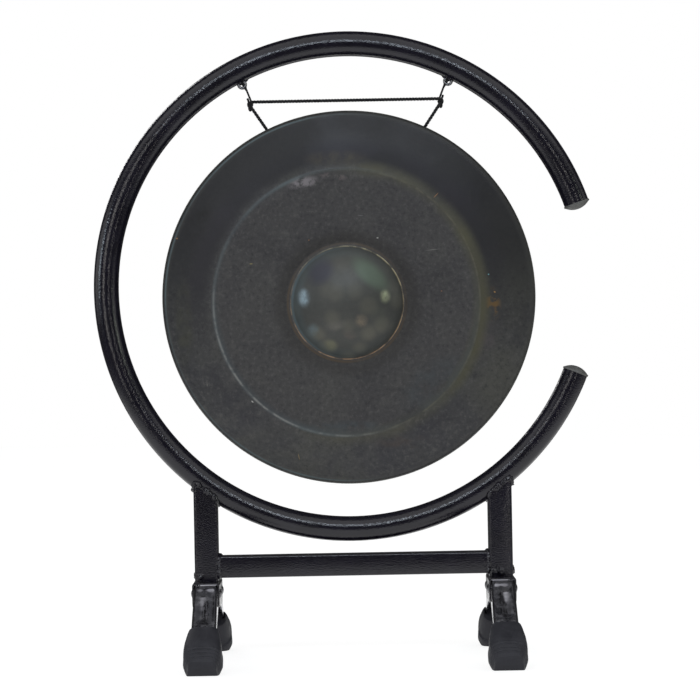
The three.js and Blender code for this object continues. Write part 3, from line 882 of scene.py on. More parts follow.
# %% [markdown]
# Each leg is a pressed channel that swings on a rivet. Its flanges end in round ears, and its web
# has a long pressed dimple that stiffens it. The blank is a grid whose rows are wrapped round the
# section of the channel. A fine grid takes the dimple smoothly, and the ears and the rivet's hole
# are then cut as a press would cut them. The flanges grow lower towards the boot, which closes round
# them. The web isn't quite flat: slow streaks and an uneven ridge at its top bend the reflections.

# %% Leg places
leg_slope = math.radians(38)
leg_depth = 17 * mm
leg_wall = 1.8 * mm
leg_bend = 3 * mm
ear_radius = 8.5 * mm
ear_taper = 30 * mm
boot_axis_height = 17 * mm
boot_socket_past = 6 * mm
run = Vector((math.cos(leg_slope), -math.sin(leg_slope)))
up = Vector((math.sin(leg_slope), math.cos(leg_slope)))
leg_top = Vector((bracket_length / 2, leg_top_z))
pin_out = Vector((pin_y, pin_z)) - leg_top
pin_along = pin_out.dot(run)
pin_above = pin_out.dot(up)
boot_middle = (leg_top_z - leg_depth / 2 * up.y - boot_axis_height) / math.sin(leg_slope)
leg_length = boot_middle + boot_socket_past
print("leg", round(leg_length / mm, 1), "mm, rivet", round(pin_along / mm, 1), round(pin_above / mm, 1))


def leg_matrix(x, end):
    turn = Matrix.Rotation(math.pi if end < 0 else 0, 4, "Z")
    down = Matrix.Translation((0, leg_top.x, leg_top.y)) @ Matrix.Rotation(-leg_slope, 4, "X")
    return Matrix.Translation((x, 0, 0)) @ turn @ down


# %% Legs
dimple_half_width = 6.4 * mm
dimple_start = 13 * mm
dimple_end = 54 * mm
dimple_depth = 1.1 * mm
dimple_lean = 2.2 * mm
dimple_fade = 3.4 * dimple_half_width
shoulder_along = 4.5 * mm
shoulder_half = 3 * mm
shoulder_rise = 0.4 * mm
shoulder_uneven_share = 0.8
shoulder_uneven_scales = (160, 90)
web_waver = 0.5 * mm
web_waver_scales = (120, 14)
flange_end_depth = 8 * mm
flange_taper = 32 * mm
flange_end_start = boot_middle - flange_taper
leg_end_share = 1.05
blank_reach = 14 * mm
blank_skirt = 26 * mm
blank_columns = 120
blank_rows = 150
cutter_rise = 5 * mm
hole_slack = 0.2 * mm


def channel_point(develop):
    flat = leg_width / 2 - leg_bend
    bend = leg_bend * math.pi / 2
    side = math.copysign(1, develop)
    across = abs(develop)
    if across <= flat:
        return side * across, 0.0
    if across <= flat + bend:
        angle = (across - flat) / leg_bend
        return side * (flat + leg_bend * math.sin(angle)), leg_bend * (math.cos(angle) - 1)
    return side * leg_width / 2, -leg_bend - (across - flat - bend)


def web_relief(x, along, seed, lean):
    # The noise is stretched along the leg, and the seed shifts it, so no two legs are alike.
    wide, long = web_waver_scales
    waver = web_waver * noise.noise(Vector((x * wide, along * long, seed)))
    ridge = shoulder_rise * math.exp(-((along - shoulder_along) / shoulder_half) ** 2)
    wide, long = shoulder_uneven_scales
    ridge *= 1 + shoulder_uneven_share * noise.noise(Vector((x * wide, along * long, seed + 5)))
    inner = min(max(along, dimple_start + dimple_half_width), dimple_end - dimple_half_width)
    away = math.hypot(x - lean, along - inner) / dimple_half_width
    if away >= 1:
        return ridge + waver
    fade = min(max((along - dimple_start) / dimple_fade, 0), 1)
    bowl = 0.5 + 0.5 * math.cos(math.pi * away)
    return ridge + waver - dimple_depth * bowl * fade * fade * (3 - 2 * fade)


def prism(outline, length):
    bm = bmesh.new()
    face = bm.faces.new([bm.verts.new((-length / 2, y, z)) for y, z in outline])
    moved = bmesh.ops.extrude_face_region(bm, geom=[face], use_keep_orig=True)["geom"]
    bmesh.ops.translate(bm, vec=(length, 0, 0), verts=[v for v in moved if isinstance(v, bmesh.types.BMVert)])
    bmesh.ops.recalc_face_normals(bm, faces=bm.faces[:])
    return bm


def leg_outline():
    start = 90 + math.degrees(leg_slope)
    ear = arc((pin_along, pin_above), ear_radius, start, 270, 30)
    tail = [(pin_along + ear_radius, pin_above - ear_radius), (ear_taper, -leg_depth),
            (flange_end_start, -flange_end_depth), (leg_length, -flange_end_depth)]
    return [(leg_length, cutter_rise), (0, cutter_rise), (0, 0)] + ear + tail


def make_leg(seed, lean):
    bm = bmesh.new()
    half_section = leg_width / 2 - leg_bend + leg_bend * math.pi / 2 + blank_skirt
    bmesh.ops.create_grid(bm, x_segments=blank_columns, y_segments=blank_rows, size=0.5)
    for vert in bm.verts:
        along = -blank_reach + (vert.co.y + 0.5) * (leg_length + blank_reach)
        x, z = channel_point(vert.co.x * 2 * half_section)
        vert.co = (x, along, z + (web_relief(x, along, seed, lean) if z == 0 else 0))
    thicken(bm, leg_wall)
    bm = cut(bm, [prism(leg_outline(), 2 * leg_width)], operation="INTERSECT")
    back, low = -2 * blank_reach, -2 * leg_wall
    mouth = prism([(back, low), (0, low), (0, leg_depth), (back, leg_depth)], leg_width - 2 * leg_wall)
    hole = rod(pin_radius + hole_slack, 2 * leg_width,
               Matrix.Translation((0, pin_along, pin_above)) @ Matrix.Rotation(math.pi / 2, 4, "Y"))
    bm = cut(bm, [mouth, hole])
    for vert in bm.verts:
        share = min(max(vert.co.y / leg_length, 0), 1)
        vert.co.x *= leg_top_share + (leg_end_share - leg_top_share) * share
    return bm


ends = (("front", -1), ("rear", 1))
for side_name, x in post_x.items():
    outer = -1 if side_name == "left" else 1
    for end_name, end in ends:
        bm = make_leg(seed=7.3 + 31 * x + 2 * end, lean=outer * end * dimple_lean)
        move(bm, leg_matrix(x, end))
        finish_piece(f"strut_{side_name}_{end_name}", bm, f"foot_{side_name}_{end_name}",
                     leg_chrome, crease=30, replaces=(f"leg_{side_name}_{end_name}",))

# %% [markdown]
# A rivet holds each leg in its channel. It is a plain shank with a low domed head on each side,
# turned as one outline.

# %% Rivets
rivet_head_radius = 5 * mm
rivet_head = 1.8 * mm
rivet_stand_off = 0.05 * mm


def rivet_profile():
    half = bracket_width / 2 + rivet_stand_off
    dome = (rivet_head_radius ** 2 + rivet_head ** 2) / (2 * rivet_head)
    sweep = math.degrees(math.asin(rivet_head_radius / dome))
    upper = arc((0, half + rivet_head - dome), dome, 90 - sweep, 90, 8)
    lower = [(r, -h) for r, h in reversed(upper)]
    return lower + [(pin_radius, -half), (pin_radius, half)] + upper


for side_name, x in post_x.items():
    for end_name, end in ends:
        bm = turned(rivet_profile(), steps=40)
        move(bm, Matrix.Translation((x, end * pin_y, pin_z)) @ Matrix.Rotation(math.pi / 2, 4, "Y"))
        finish_piece(f"pivot_{side_name}_{end_name}", bm, "frame", dark_steel, crease=30,
                     replaces=(f"rivet_{side_name}_{end_name}",))

# %% [markdown]
# The boots are thick moulded sleeves that swell to their widest a little below the middle. Bowed
# ridges run across the lower front for grip, the toe is bevelled, and the sole is worn flat. The body
# is lofted: rings of the same rounded section, sized along the leg, are bridged one to the next. A
# station is a share of half the boot's length from its middle, towards the mouth or the toe. The
# socket for the leg is cut last, and so is the plane of the floor.

# %% Boots
boot_half = 24 * mm
boot_width = 38.2 * mm
boot_thickness = 38 * mm
boot_mouth_share = -1.3
boot_end_share = 0.95
boot_width_shares = [(-1.3, 0.75), (-1.22, 0.79), (-1.0, 0.85), (-0.4, 0.955), (0.0, 0.99), (0.3, 0.99),
                     (0.62, 0.88), (0.95, 0.73)]
boot_thickness_shares = [(-1.3, 0.54), (-1.24, 0.58), (-0.3, 0.9), (0.0, 0.97), (0.36, 0.98), (0.42, 0.95),
                         (0.88, 0.74), (0.95, 0.55)]
boot_sides = 160
boot_stations = 96
ridge_places = (0.38, 0.53, 0.68, 0.83)
ridge_bow = 0.14
ridge_half_share = 0.045
ridge_rise = 1.15 * mm
ridge_end_share = 0.98
ridge_fade_share = 0.12
ridge_power = 0.7
heel_step = -0.16
heel_step_share = 0.03
heel_rise = 1.5 * mm
under_share = 0.2
top_squareness = 4.2
under_squareness = 2.4
seam_half = 0.6 * mm
seam_rise = -0.3 * mm
socket_play = 0.8 * mm


def share_at(table, place):
    for (here, low), (there, high) in zip(table, table[1:]):
        if here <= place <= there:
            return low + (high - low) * (place - here) / (there - here)
    return table[-1][1]


def softened(table, place, reach=0.02):
    steps = [place + step * reach for step in (-1, -0.5, 0, 0.5, 1)]
    return sum(share_at(table, min(max(s, boot_mouth_share), boot_end_share)) for s in steps) / len(steps)


def rounded_section(width, thickness, angle):
    # A superellipse is close to a rounded rectangle and needs only one formula.
    power = 2 / (top_squareness if math.sin(angle) > 0 else under_squareness)
    c, s = math.cos(angle), math.sin(angle)
    return (width / 2 * math.copysign(abs(c) ** power, c), thickness / 2 * math.copysign(abs(s) ** power, s))


def boot_relief(share, x, z):
    bow = ridge_bow * (1 - (2 * x / boot_width) ** 2)
    ridge = max(max(0, 1 - abs(share - place + bow) / ridge_half_share) for place in ridge_places)
    ridge *= min(max((ridge_end_share - abs(2 * x / boot_width)) / ridge_fade_share, 0), 1)
    under = min(max(under_share - z / (boot_thickness / 4), 0), 1)
    step = min(max((share - heel_step) / heel_step_share, 0), 1)
    seam = seam_rise if abs(x) < seam_half and z > 0 else 0
    return ridge_rise * ridge ** ridge_power * (1 - under) + heel_rise * step * under + seam


def make_boot():
    bm = bmesh.new()
    loops = []
    for i in range(boot_stations + 1):
        share = boot_mouth_share + (boot_end_share - boot_mouth_share) * i / boot_stations
        width = boot_width * softened(boot_width_shares, share)
        thickness = boot_thickness * softened(boot_thickness_shares, share)
        made = bmesh.ops.create_circle(bm, cap_ends=False, segments=boot_sides, radius=1)["verts"]
        for vert in made:
            x, z = rounded_section(width, thickness, math.atan2(vert.co.y, vert.co.x))
            grown = 1 + boot_relief(share, x, z) / math.hypot(x, z)
            vert.co = (x * grown, boot_middle + share * boot_half, z * grown - leg_depth / 2)
        loops.append(list({e for v in made for e in v.link_edges}))
    for here, there in zip(loops, loops[1:]):
        bmesh.ops.bridge_loops(bm, edges=here + there)
    for loop in (loops[0], loops[-1]):
        bmesh.ops.contextual_create(bm, geom=loop)
    bmesh.ops.recalc_face_normals(bm, faces=bm.faces[:])
    return bm


def socket_cutter():
    # The rubber fills the inside of the channel, so the cutter is a channel too.
    wide = leg_width * leg_end_share
    length = leg_length + 2 * socket_play
    depth = flange_end_depth + socket_play
    outside = (wide + socket_play, length, socket_play / 2)
    inside = (wide - 2 * leg_wall - socket_play, 2 * length, -leg_wall - socket_play / 2)
    parts = []
    for width, reach, top in (outside, inside):
        bm = bmesh.new()
        place = Matrix.Translation((0, leg_length + socket_play - length / 2, top - depth / 2))
        bmesh.ops.create_cube(bm, size=1, matrix=place @ Matrix.Diagonal((width, reach, depth, 1)))
        parts.append(bm)
    return cut(parts[0], [parts[1]])


for side_name, x in post_x.items():
    for end_name, end in ends:
        bm = cut(make_boot(), [socket_cutter()])
        move(bm, leg_matrix(x, end))
        trim(bm, (0, 0, 0), (0, 0, -1))
        finish_piece(f"shoe_{side_name}_{end_name}", bm, f"foot_{side_name}_{end_name}",
                     boot_rubber, crease=35, replaces=(f"boot_{side_name}_{end_name}",))

# %% [markdown]
# The gong is one beaten bronze skin: a domed boss, a flat face, a sloping shoulder and a deep rim
# that tapers a little to the back. It was raised by hammer, so its boss and face sit slightly low in
# the rim and its surface is full of shallow dents. The outline is turned once, the middle is then
# shifted, and the dents are pushed in vertex by vertex before the sheet gets its thickness. It is
# built about the holes that it hangs from, then tilted about them to the angle at which it hangs.

# %% Gong sizes
boss_radius = 57.4 * mm
boss_height = 26 * mm
boss_span = 62
boss_foot = ((61.4 * mm, 0.6 * mm), (65.2 * mm, 0.25 * mm), (70 * mm, 0))
face_rows = 26
face_radius = 135 * mm
face_bend_start = 128 * mm
face_bend = ((face_radius, 0.4 * mm), (139 * mm, 1.1 * mm))
face_low = 4.2 * mm
face_side = 2 * mm
shoulder_depth = 13 * mm
shoulder_sag_share = 0.42
rim_corner = 5 * mm
rim_depth = 44 * mm
rim_taper = 7 * mm
rim_belly_share = 0.4
gong_steps = 224
hole_depth = shoulder_depth + 9 * mm
drill_length = 34 * mm
gong_tilt = math.radians(3.08)
hole_above_centre = hole_height + gong_drop
gong_place = from_ring(0, hole_height)


def gong_outline():
    dome = boss_radius / math.sin(math.radians(boss_span))
    rise = dome * (1 - math.cos(math.radians(boss_span)))
    boss = arc((0, rise - dome), dome, 90, 90 - boss_span, 30)
    boss = [(r, -h * boss_height / rise) for r, h in boss]
    foot = smooth_path([boss[-1], *boss_foot], 4)[1:]
    flat_start = boss_foot[-1][0]
    face = [(flat_start + (face_bend_start - flat_start) * i / face_rows, 0) for i in range(1, face_rows + 1)]
    middle = ((face_radius + gong_radius) / 2, shoulder_depth * shoulder_sag_share)
    edge = (gong_radius - rim_corner, shoulder_depth)
    shoulder = smooth_path([face[-1], *face_bend, middle, edge], 8)[1:]
    corner = arc((gong_radius - rim_corner, shoulder_depth + rim_corner), rim_corner, -90, 0, 7)[1:]
    half_way = (gong_radius - rim_taper * rim_belly_share, shoulder_depth + rim_depth / 2)
    back_edge = (gong_radius - rim_taper, shoulder_depth + rim_depth)
    rim = smooth_path([corner[-1], half_way, back_edge], 7)[1:]
    return [(p[0], p[1]) for p in boss + foot + face + shoulder + corner + rim]


# Each kind of dent has its scale across the gong and its height in millimetres.
broad_scale, broad_height = 26, 0.16
small_scale, small_height = 75, 0.07
blow_scale, blow_height = 95, 0.16
undented_edge = 1 * mm


def dent(x, z, radius):
    broad = noise.noise(Vector((x * broad_scale, z * broad_scale, 3.0))) * broad_height
    small = noise.noise(Vector((x * small_scale, z * small_scale, 9.0))) * small_height
    if radius >= boss_radius:
        return (broad + small) * mm
    blows = min(noise.voronoi(Vector((x * blow_scale, z * blow_scale, 5.0)))[0][0], 1)
    return (broad + small + blows * blow_height) * mm


def make_gong():
    bm = turned(gong_outline(), steps=gong_steps)
    move(bm, Matrix.Rotation(-math.pi / 2, 4, "X"))
    shoulder_end = gong_radius - rim_corner
    for vert in bm.verts:
        x, y, z = vert.co
        radius = math.hypot(x, z)
        share = min(max((shoulder_end - radius) / (shoulder_end - face_radius), 0), 1)
        push = dent(x, z, radius) if radius < gong_radius - undented_edge else 0
        vert.co = (x - face_side * share, y - hole_depth + push, z - face_low * share - hole_above_centre)
    bmesh.ops.recalc_face_normals(bm, faces=bm.faces[:])
    middle = min(bm.faces, key=lambda f: f.calc_center_median().y)
    if middle.normal.y > 0:
        bmesh.ops.reverse_faces(bm, faces=bm.faces[:])
    bmesh.ops.solidify(bm, geom=bm.faces[:], thickness=gong_wall)
    bmesh.ops.recalc_face_normals(bm, faces=bm.faces[:])
    drills = []
    for side in (-1, 1):
        knot_place = Vector((side * knot_x, 0, knot_height - hole_height))
        hole = Vector((side * hole_x, 0, 0))
        drills.append(rod(hole_radius, drill_length, along_matrix(hole, knot_place - hole)))
    bm = cut(bm, drills)
    move(bm, Matrix.Translation(gong_place) @ Matrix.Rotation(gong_tilt, 4, "X"))
    return bm


# %% [markdown]
# The bronze has a dark patina. Broad clouds move it between gunmetal, olive and brown, a coppery ring
# shows round the boss, and specks and scratches sit on top. Light and shade are painted over it too:
# highlights along the edge between face and shoulder, a pale line round the rim that is partly wear
# and partly painted highlight, painted shade on the top of the shoulder, and painted highlights, sheen
# and shade on the boss. The coordinates are moved to the gong's centre first, so the rings are placed
# by the gong's own radius. What isn't a ring is a soft oval patch, and the tables below hold those:
# first the stains on the face with two patches of painted shade on the upper shoulder, then the
# painted highlights on the facets in the boss, then the scratches.

# %% Places of the patina and of the painted light
# A patch: x and z from the centre and half sizes in millimetres, strength, turn, raggedness; colour.
stains_and_painted_shade = (
    ((-42, 122, 20, 8, 0.9, -0.18, 0.07), (0.175, 0.160, 0.170)),
    ((-12, 128, 17, 5, 0.75, 0.12, 0.07), (0.135, 0.110, 0.110)),
    ((-8, 146, 40, 11, 0.7, 0.0, 0.2), (0.046, 0.038, 0.024)),
    ((148, -4, 10, 20, 0.9, 0.0, 0.05), (0.110, 0.062, 0.018)),
    ((140, -40, 15, 26, 0.6, 0.3, 0.2), (0.066, 0.056, 0.060)),
    ((88, -84, 50, 30, 0.6, -0.6, 0.2), (0.040, 0.050, 0.056)),
    ((-4, -126, 50, 8, 0.6, 0.0, 0.15), (0.044, 0.058, 0.066)),
    ((54, -143, 34, 10, 0.6, 0.0, 0.15), (0.050, 0.036, 0.030)),
    # Painted shade on the upper left of the shoulder.
    ((-150, 84, 26, 13, 0.9, -0.9, 0.1), (0.007, 0.007, 0.008)),
    ((-166, -20, 12, 60, 0.6, 0.0, 0.25), (0.042, 0.042, 0.026)),
    # Painted shade, a dark band on the upper right of the shoulder.
    ((120, 118, 34, 12, 0.6, 0.8, 0.2), (0.010, 0.010, 0.016)),
)
# Painted highlights on hammer facets in the lower half of the boss.
facet_highlights = (
    ((-17, -42, 9, 8, 0.9, 0.2, 0.3), (0.155, 0.155, 0.105)),
    ((-35, -27, 8, 9, 0.8, 0.4, 0.3), (0.120, 0.160, 0.175)),
    ((-12, -22, 14, 7, 0.7, -0.2, 0.3), (0.145, 0.138, 0.125)),
    ((14, -18, 8, 9, 0.9, 0.2, 0.3), (0.240, 0.195, 0.140)),
    ((2, -31, 9, 7, 0.7, 0.5, 0.3), (0.130, 0.108, 0.092)),
    ((32, -14, 10, 14, 0.6, -0.3, 0.3), (0.095, 0.102, 0.085)),
)
# A scratch or fleck: x and z, half length and half width in millimetres, turn; colour.
scratches = (
    ((92, 107, 4.5, 0.5, -0.8), (0.25, 0.13, 0.05)),
    ((87.5, 52, 9, 0.45, -0.1), (0.15, 0.15, 0.14)),
    ((15, 88, 4.5, 0.45, 0.1), (0.12, 0.12, 0.12)),
    ((32, 65, 1.5, 0.9, 0), (0.30, 0.30, 0.28)),
    ((144, 26, 1, 0.9, 0), (0.14, 0.34, 0.38)),
    ((-96.5, 41, 2.4, 0.7, 0), (0.21, 0.18, 0.08)),
    ((-37.5, 64, 0.9, 0.8, 0), (0.24, 0.12, 0.05)),
    ((-98, -99, 1.8, 0.9, 0.7), (0.42, 0.42, 0.40)),
    ((-52, -156.5, 4.5, 0.45, 1.4), (0.24, 0.17, 0.07)),
    ((-144, -81.5, 2.2, 0.5, 1.5), (0.16, 0.16, 0.14)),
    ((96, 10, 1, 0.9, 0), (0.20, 0.11, 0.06)),
    ((150, 8, 1.4, 1, 0.5), (0.34, 0.19, 0.06)),
    ((-172, 68, 1.4, 1, 0), (0.26, 0.13, 0.05)),
)
print(len(stains_and_painted_shade), "stains,", len(facet_highlights), "facets,", len(scratches), "scratches and flecks")

# %% Gong finish
def make_bronze():
    finish = Finish("patinated_bronze")
    centre = gong_place + Matrix.Rotation(gong_tilt, 3, "X") @ Vector((0, -hole_depth, -hole_above_centre))
    whole = finish.mapped(move=tuple(centre), turn=(gong_tilt, 0, 0), kind="TEXTURE")

    def flattened(source, shift):
        low = finish.add("ShaderNodeVectorMath", operation="ADD")
        low.inputs[1].default_value = shift
        finish.join(source, low.inputs[0])
        flat = finish.add("ShaderNodeVectorMath", operation="MULTIPLY")
        flat.inputs[1].default_value = (1, 0, 1)
        finish.join(low.outputs["Vector"], flat.inputs[0])
        return flat.outputs["Vector"]

    def length_of(source):
        length = finish.add("ShaderNodeVectorMath", operation="LENGTH")
        finish.join(source, length.inputs[0])
        return length.outputs["Value"]

    local = flattened(whole, (face_side, 0, face_low))
    radius = length_of(local)
    outer = length_of(flattened(whole, (0, 0, 0)))
    across = finish.add("ShaderNodeSeparateXYZ")
    finish.join(local, across.inputs["Vector"])
    to_right = finish.grey(across.outputs["X"], 0, 1, -70 * mm, 70 * mm)
    upwards = finish.grey(across.outputs["Z"], 0, 1, -70 * mm, 70 * mm)
    fine = finish.noise(70, detail=5, roughness=0.65, at=whole)
    clouds = finish.noise(10, detail=5, roughness=0.55, at=whole, distortion=0.6)
    brushed = finish.mapped(scale=(14, 14, 46), turn=(0, 0.5, 0), at=whole)
    streaks = finish.noise(1, detail=5, roughness=0.7, at=brushed)

    def band(middle, half, power=1.0, measure=radius):
        away = finish.math("ABSOLUTE", finish.math("SUBTRACT", measure, middle))
        return finish.grey(away, power, 0, 0, half)

    def patch(x, z, half_x, half_z, power, turn=0.0, ragged=0.0):
        spot = finish.mapped(scale=(half_x * mm, 1, half_z * mm), move=(x * mm, 0, z * mm), turn=(0, turn, 0),
                             kind="TEXTURE", at=local)
        soft = finish.grey(length_of(spot), power, 0, 0.3, 1)
        if not ragged:
            return soft
        return finish.math("MULTIPLY", soft, finish.grey(fine, 0, 1, 0.5 - ragged, 0.5 + ragged))

    def product(*masks):
        result = masks[0]
        for mask in masks[1:]:
            result = finish.math("MULTIPLY", result, mask)
        return result

    grain = finish.noise(230, detail=5, roughness=0.7, at=whole)
    to_left = finish.math("SUBTRACT", 1, to_right)
    downwards = finish.math("SUBTRACT", 1, upwards)
    cloudy = finish.grey(clouds, 0.35, 1, 0.4, 0.62)
    gritty = finish.grey(fine, 0.15, 1, 0.4, 0.6)

    def tint(mask, shade):
        nonlocal colour
        colour = finish.mix(mask, colour, shade)

    colour = finish.ramp(clouds, [(0.32, (0.026, 0.026, 0.032)), (0.5, (0.042, 0.042, 0.043)),
                                  (0.7, (0.058, 0.058, 0.050))])
    tint(finish.grey(radius, 0.7, 0, face_radius - 8 * mm, face_radius + 6 * mm), (0.044, 0.042, 0.043))
    tint(finish.grey(streaks, 0, 0.6, 0.5, 0.8), (0.018, 0.018, 0.021))
    tint(finish.grey(fine, 0, 0.5, 0.5, 0.72), (0.070, 0.069, 0.065))
    tint(finish.grey(grain, 0, 0.6, 0.5, 0.7), (0.085, 0.083, 0.079))
    tint(finish.grey(grain, 0.6, 0, 0.32, 0.48), (0.018, 0.018, 0.021))

    # Painted shade: the top of the shoulder is darker, most of all in a band just outside the face.
    outside = finish.grey(radius, 0, 0.9, face_radius - 4 * mm, face_radius + 14 * mm)
    tint(product(outside, upwards), (0.009, 0.009, 0.011))
    beside = product(band(face_radius + 18 * mm, 18 * mm, 0.8), finish.grey(clouds, 1, 0.3, 0.35, 0.65))
    tint(product(beside, finish.grey(upwards, 0.35, 1)), (0.012, 0.011, 0.017))
    tint(band(boss_radius + 8 * mm, 15 * mm, 0.5), (0.022, 0.020, 0.018))
    tint(product(band(boss_radius + 2.6 * mm, 2.2 * mm, 0.7), cloudy), (0.070, 0.048, 0.026))

    for place_and_size, shade in stains_and_painted_shade:
        tint(patch(*place_and_size), shade)

    # Painted highlights along the edge between face and shoulder: golden on the right, bluish and pale
    # on the left and at the bottom.
    tint(product(band(face_radius + 2 * mm, 12 * mm, 0.85), to_right, cloudy), (0.066, 0.063, 0.034))
    tint(product(band(face_radius, 1.6 * mm, 0.5), to_right, gritty), (0.110, 0.105, 0.070))
    tint(product(band(face_radius + 0.5 * mm, 3 * mm, 0.8), to_left, cloudy), (0.070, 0.092, 0.100))
    tint(product(band(face_radius + 0.5 * mm, 1.8 * mm), to_left, downwards, gritty), (0.190, 0.190, 0.180))
    tint(product(band(face_radius - 2 * mm, 5 * mm, 0.5), downwards, cloudy), (0.046, 0.058, 0.066))
    # The rim's edge: a soft lighter band and a thin pale line, partly wear and partly a painted highlight on
    # its rounded corner, then a painted bluish glint on the left.
    tint(band(gong_radius - 3 * mm, 5 * mm, 0.25, measure=outer), (0.050, 0.050, 0.042))
    tint(product(band(gong_radius - 0.6 * mm, 1 * mm, 0.7, measure=outer), gritty), (0.105, 0.108, 0.092))
    rim_glint = product(band(gong_radius - 3.5 * mm, 1.5 * mm, 0.7, measure=outer), to_left, cloudy)
    tint(rim_glint, (0.085, 0.120, 0.130))

    # The boss and its foot, with painted light: highlights on the lower facets, a bluish crescent and
    # glow on the left, a green sheen at the upper right, shade at the upper left, a highlight line round
    # the foot, and two highlight spots where the boss is also polished smoother.
    on_boss = finish.grey(radius, 1, 0, boss_radius - 2 * mm, boss_radius + 0.5 * mm)
    tint(finish.math("MULTIPLY", on_boss, 0.75), (0.076, 0.079, 0.073))
    # Painted highlights: facets in the lower half of the boss are lighter.
    facets = finish.grey(finish.cells(46, feature="F1", at=whole), 0.8, 0, 0.2, 0.6)
    tint(product(facets, on_boss, downwards), (0.125, 0.122, 0.098))
    # A painted highlight in a crescent along the boss's left edge, and a painted bluish reflection beside it.
    painted_crescent_highlight = product(band(boss_radius - 1.8 * mm, 2.4 * mm, 0.9), to_left, to_left, to_left)
    tint(painted_crescent_highlight, (0.150, 0.200, 0.220))
    tint(product(band(boss_radius - 6 * mm, 8 * mm, 0.5), to_left), (0.080, 0.105, 0.112))
    # A painted green sheen on the upper right of the boss, and painted shade on its upper left.
    tint(product(patch(24, 29, 30, 14, 0.8, 0.75), on_boss), (0.105, 0.140, 0.108))
    tint(product(patch(-26, 32, 20, 16, 0.7, -0.8), on_boss), (0.045, 0.046, 0.066))
    for place_and_size, shade in facet_highlights:
        tint(patch(*place_and_size), shade)
    # Two painted highlight spots on the boss, where it is also polished smoother.
    polished_highlight_left = patch(-43.5, 6, 8, 12, 1.0, 0.0, 0.3)
    polished_highlight_right = patch(38.4, 6, 7, 9, 1.0, 0.0, 0.3)
    tint(polished_highlight_left, (0.26, 0.34, 0.38))
    tint(polished_highlight_right, (0.27, 0.29, 0.20))
    # A painted highlight line round the boss's foot, coloured by side and height.
    foot = product(band(boss_radius - 0.2 * mm, 1.1 * mm), gritty)
    foot_highlight_left = finish.mix(upwards, (0.36, 0.24, 0.15), (0.13, 0.13, 0.11))
    foot_highlight_right = finish.mix(upwards, (0.34, 0.21, 0.12), (0.42, 0.39, 0.25))
    tint(foot, finish.mix(to_right, foot_highlight_left, foot_highlight_right))

    for (x, z, long, wide, turn), shade in scratches:
        tint(patch(x, z, long, wide, 0.9, turn), shade)

    finish.drive("Base Color", colour)
    finish.drive("Metallic", finish.grey(on_boss, 0.3, 0.6))
    rough = finish.grey(clouds, 0.42, 0.56, 0.3, 0.7)
    polished_highlights = finish.math("MAXIMUM", polished_highlight_left, polished_highlight_right)
    finish.drive("Roughness", finish.math("SUBTRACT", rough, finish.math("MULTIPLY", polished_highlights, 0.16)))
    relief = finish.bump(finish.noise(45, detail=3, at=whole), 0.6 * mm, 0.25)
    relief = finish.bump(finish.cells(95, at=whole), 0.5 * mm, 0.18, under=relief)
    finish.drive("Normal", finish.bump(grain, 0.25 * mm, 0.4, under=relief))
    return finish.material


gong_bronze = make_bronze()
gong_piece = finish_piece("gong_skin", make_gong(), "gong", gong_bronze, crease=45,
                          replaces=("gong",))
print("gong box in mm:", box_in_mm(gong_piece))

# %% [markdown]
# The eyes that the loops hang from are bent wire, half buried in a ragged weld under the ring. The
# wire is a small torus, and the weld is a cluster of lumps over its upper half. The thin loop is
# wound round the wire, so the cord leaves it as a small wedge of strands.

# %% Eyes under the ring
eye_sink = 3.7 * mm
eye_lean = 2.2 * mm
eye_bend_share = 0.9
eye_steps = 40
# A lump: its place across the eye, its height and its radius, in millimetres.
weld_lumps = ((-6.1, 3.0, 2.3), (-3.1, 4.0, 3.0), (0.3, 4.0, 3.0), (3.3, 3.2, 2.4), (1.9, 1.4, 1.5),
              (-4.7, 1.6, 1.3))
lump_seeds = (-4.6, -1.6, 1.8, 4.8, 3.4, -3.2)
lump_scale = 330
lump_wobble = 0.7 * mm
wrap_places = (-4.8, -3.6, -2.4, -1.2, 0.2)
wrap_height = 3.2 * mm
wrap_lay = 5 * mm
wrap_radius = 1.05 * loop_line
wrap_tip_inset = 0.35 * mm
wrap_tip_rise = 0.6 * mm


def eye_frame(side):
    outward = (from_ring(side * eye_x, eye_height) - ring_centre).normalized()
    across = Vector((outward.z, 0, -outward.x)) * side
    centre = from_ring(side * eye_x, eye_height) + outward * eye_sink + across * eye_lean
    return centre, outward, across


def make_eye(side):
    centre, outward, across = eye_frame(side)
    circle = [centre + (across * math.cos(a) + outward * math.sin(a)) * (eye_radius * eye_bend_share)
              for a in (2 * math.pi * i / eye_steps for i in range(eye_steps))]
    bm = bmesh.new()
    tube_mesh(bm, circle, eye_wire, sides=12, closed=True)
    return bm


def make_eye_weld(side):
    centre, outward, across = eye_frame(side)
    bm = bmesh.new()
    for (along, high, size), seed in zip(weld_lumps, lump_seeds):
        place = Matrix.Translation(centre + across * (along * mm) + outward * (high * mm))
        made = bmesh.ops.create_icosphere(bm, subdivisions=4, radius=size * mm, matrix=place)
        for vert in made["verts"]:
            vert.co += noise.noise_vector(vert.co * lump_scale + Vector((side, seed, 0))) * lump_wobble
    return bm


def make_wrap(side):
    bm = bmesh.new()
    tip = from_ring(side * (eye_x - wrap_tip_inset), eye_height - eye_radius + wrap_tip_rise)
    centre, outward, across = eye_frame(side)
    for along in wrap_places:
        start = centre + across * (along * mm) + outward * wrap_height
        laid_line(bm, start, tip, radius=wrap_radius, strands=2, lay=wrap_lay)
    return bm


for side_name, side in both_sides:
    finish_piece(f"wire_eye_{side_name}", make_eye(side), "frame", dark_steel,
                 replaces=(f"eye_{side_name}",))
    finish_piece(f"weld_eye_{side_name}", make_eye_weld(side), "frame", weld_paint, crease=80)
    finish_piece(f"loop_wrap_{side_name}", make_wrap(side), "sling", cord_finish)

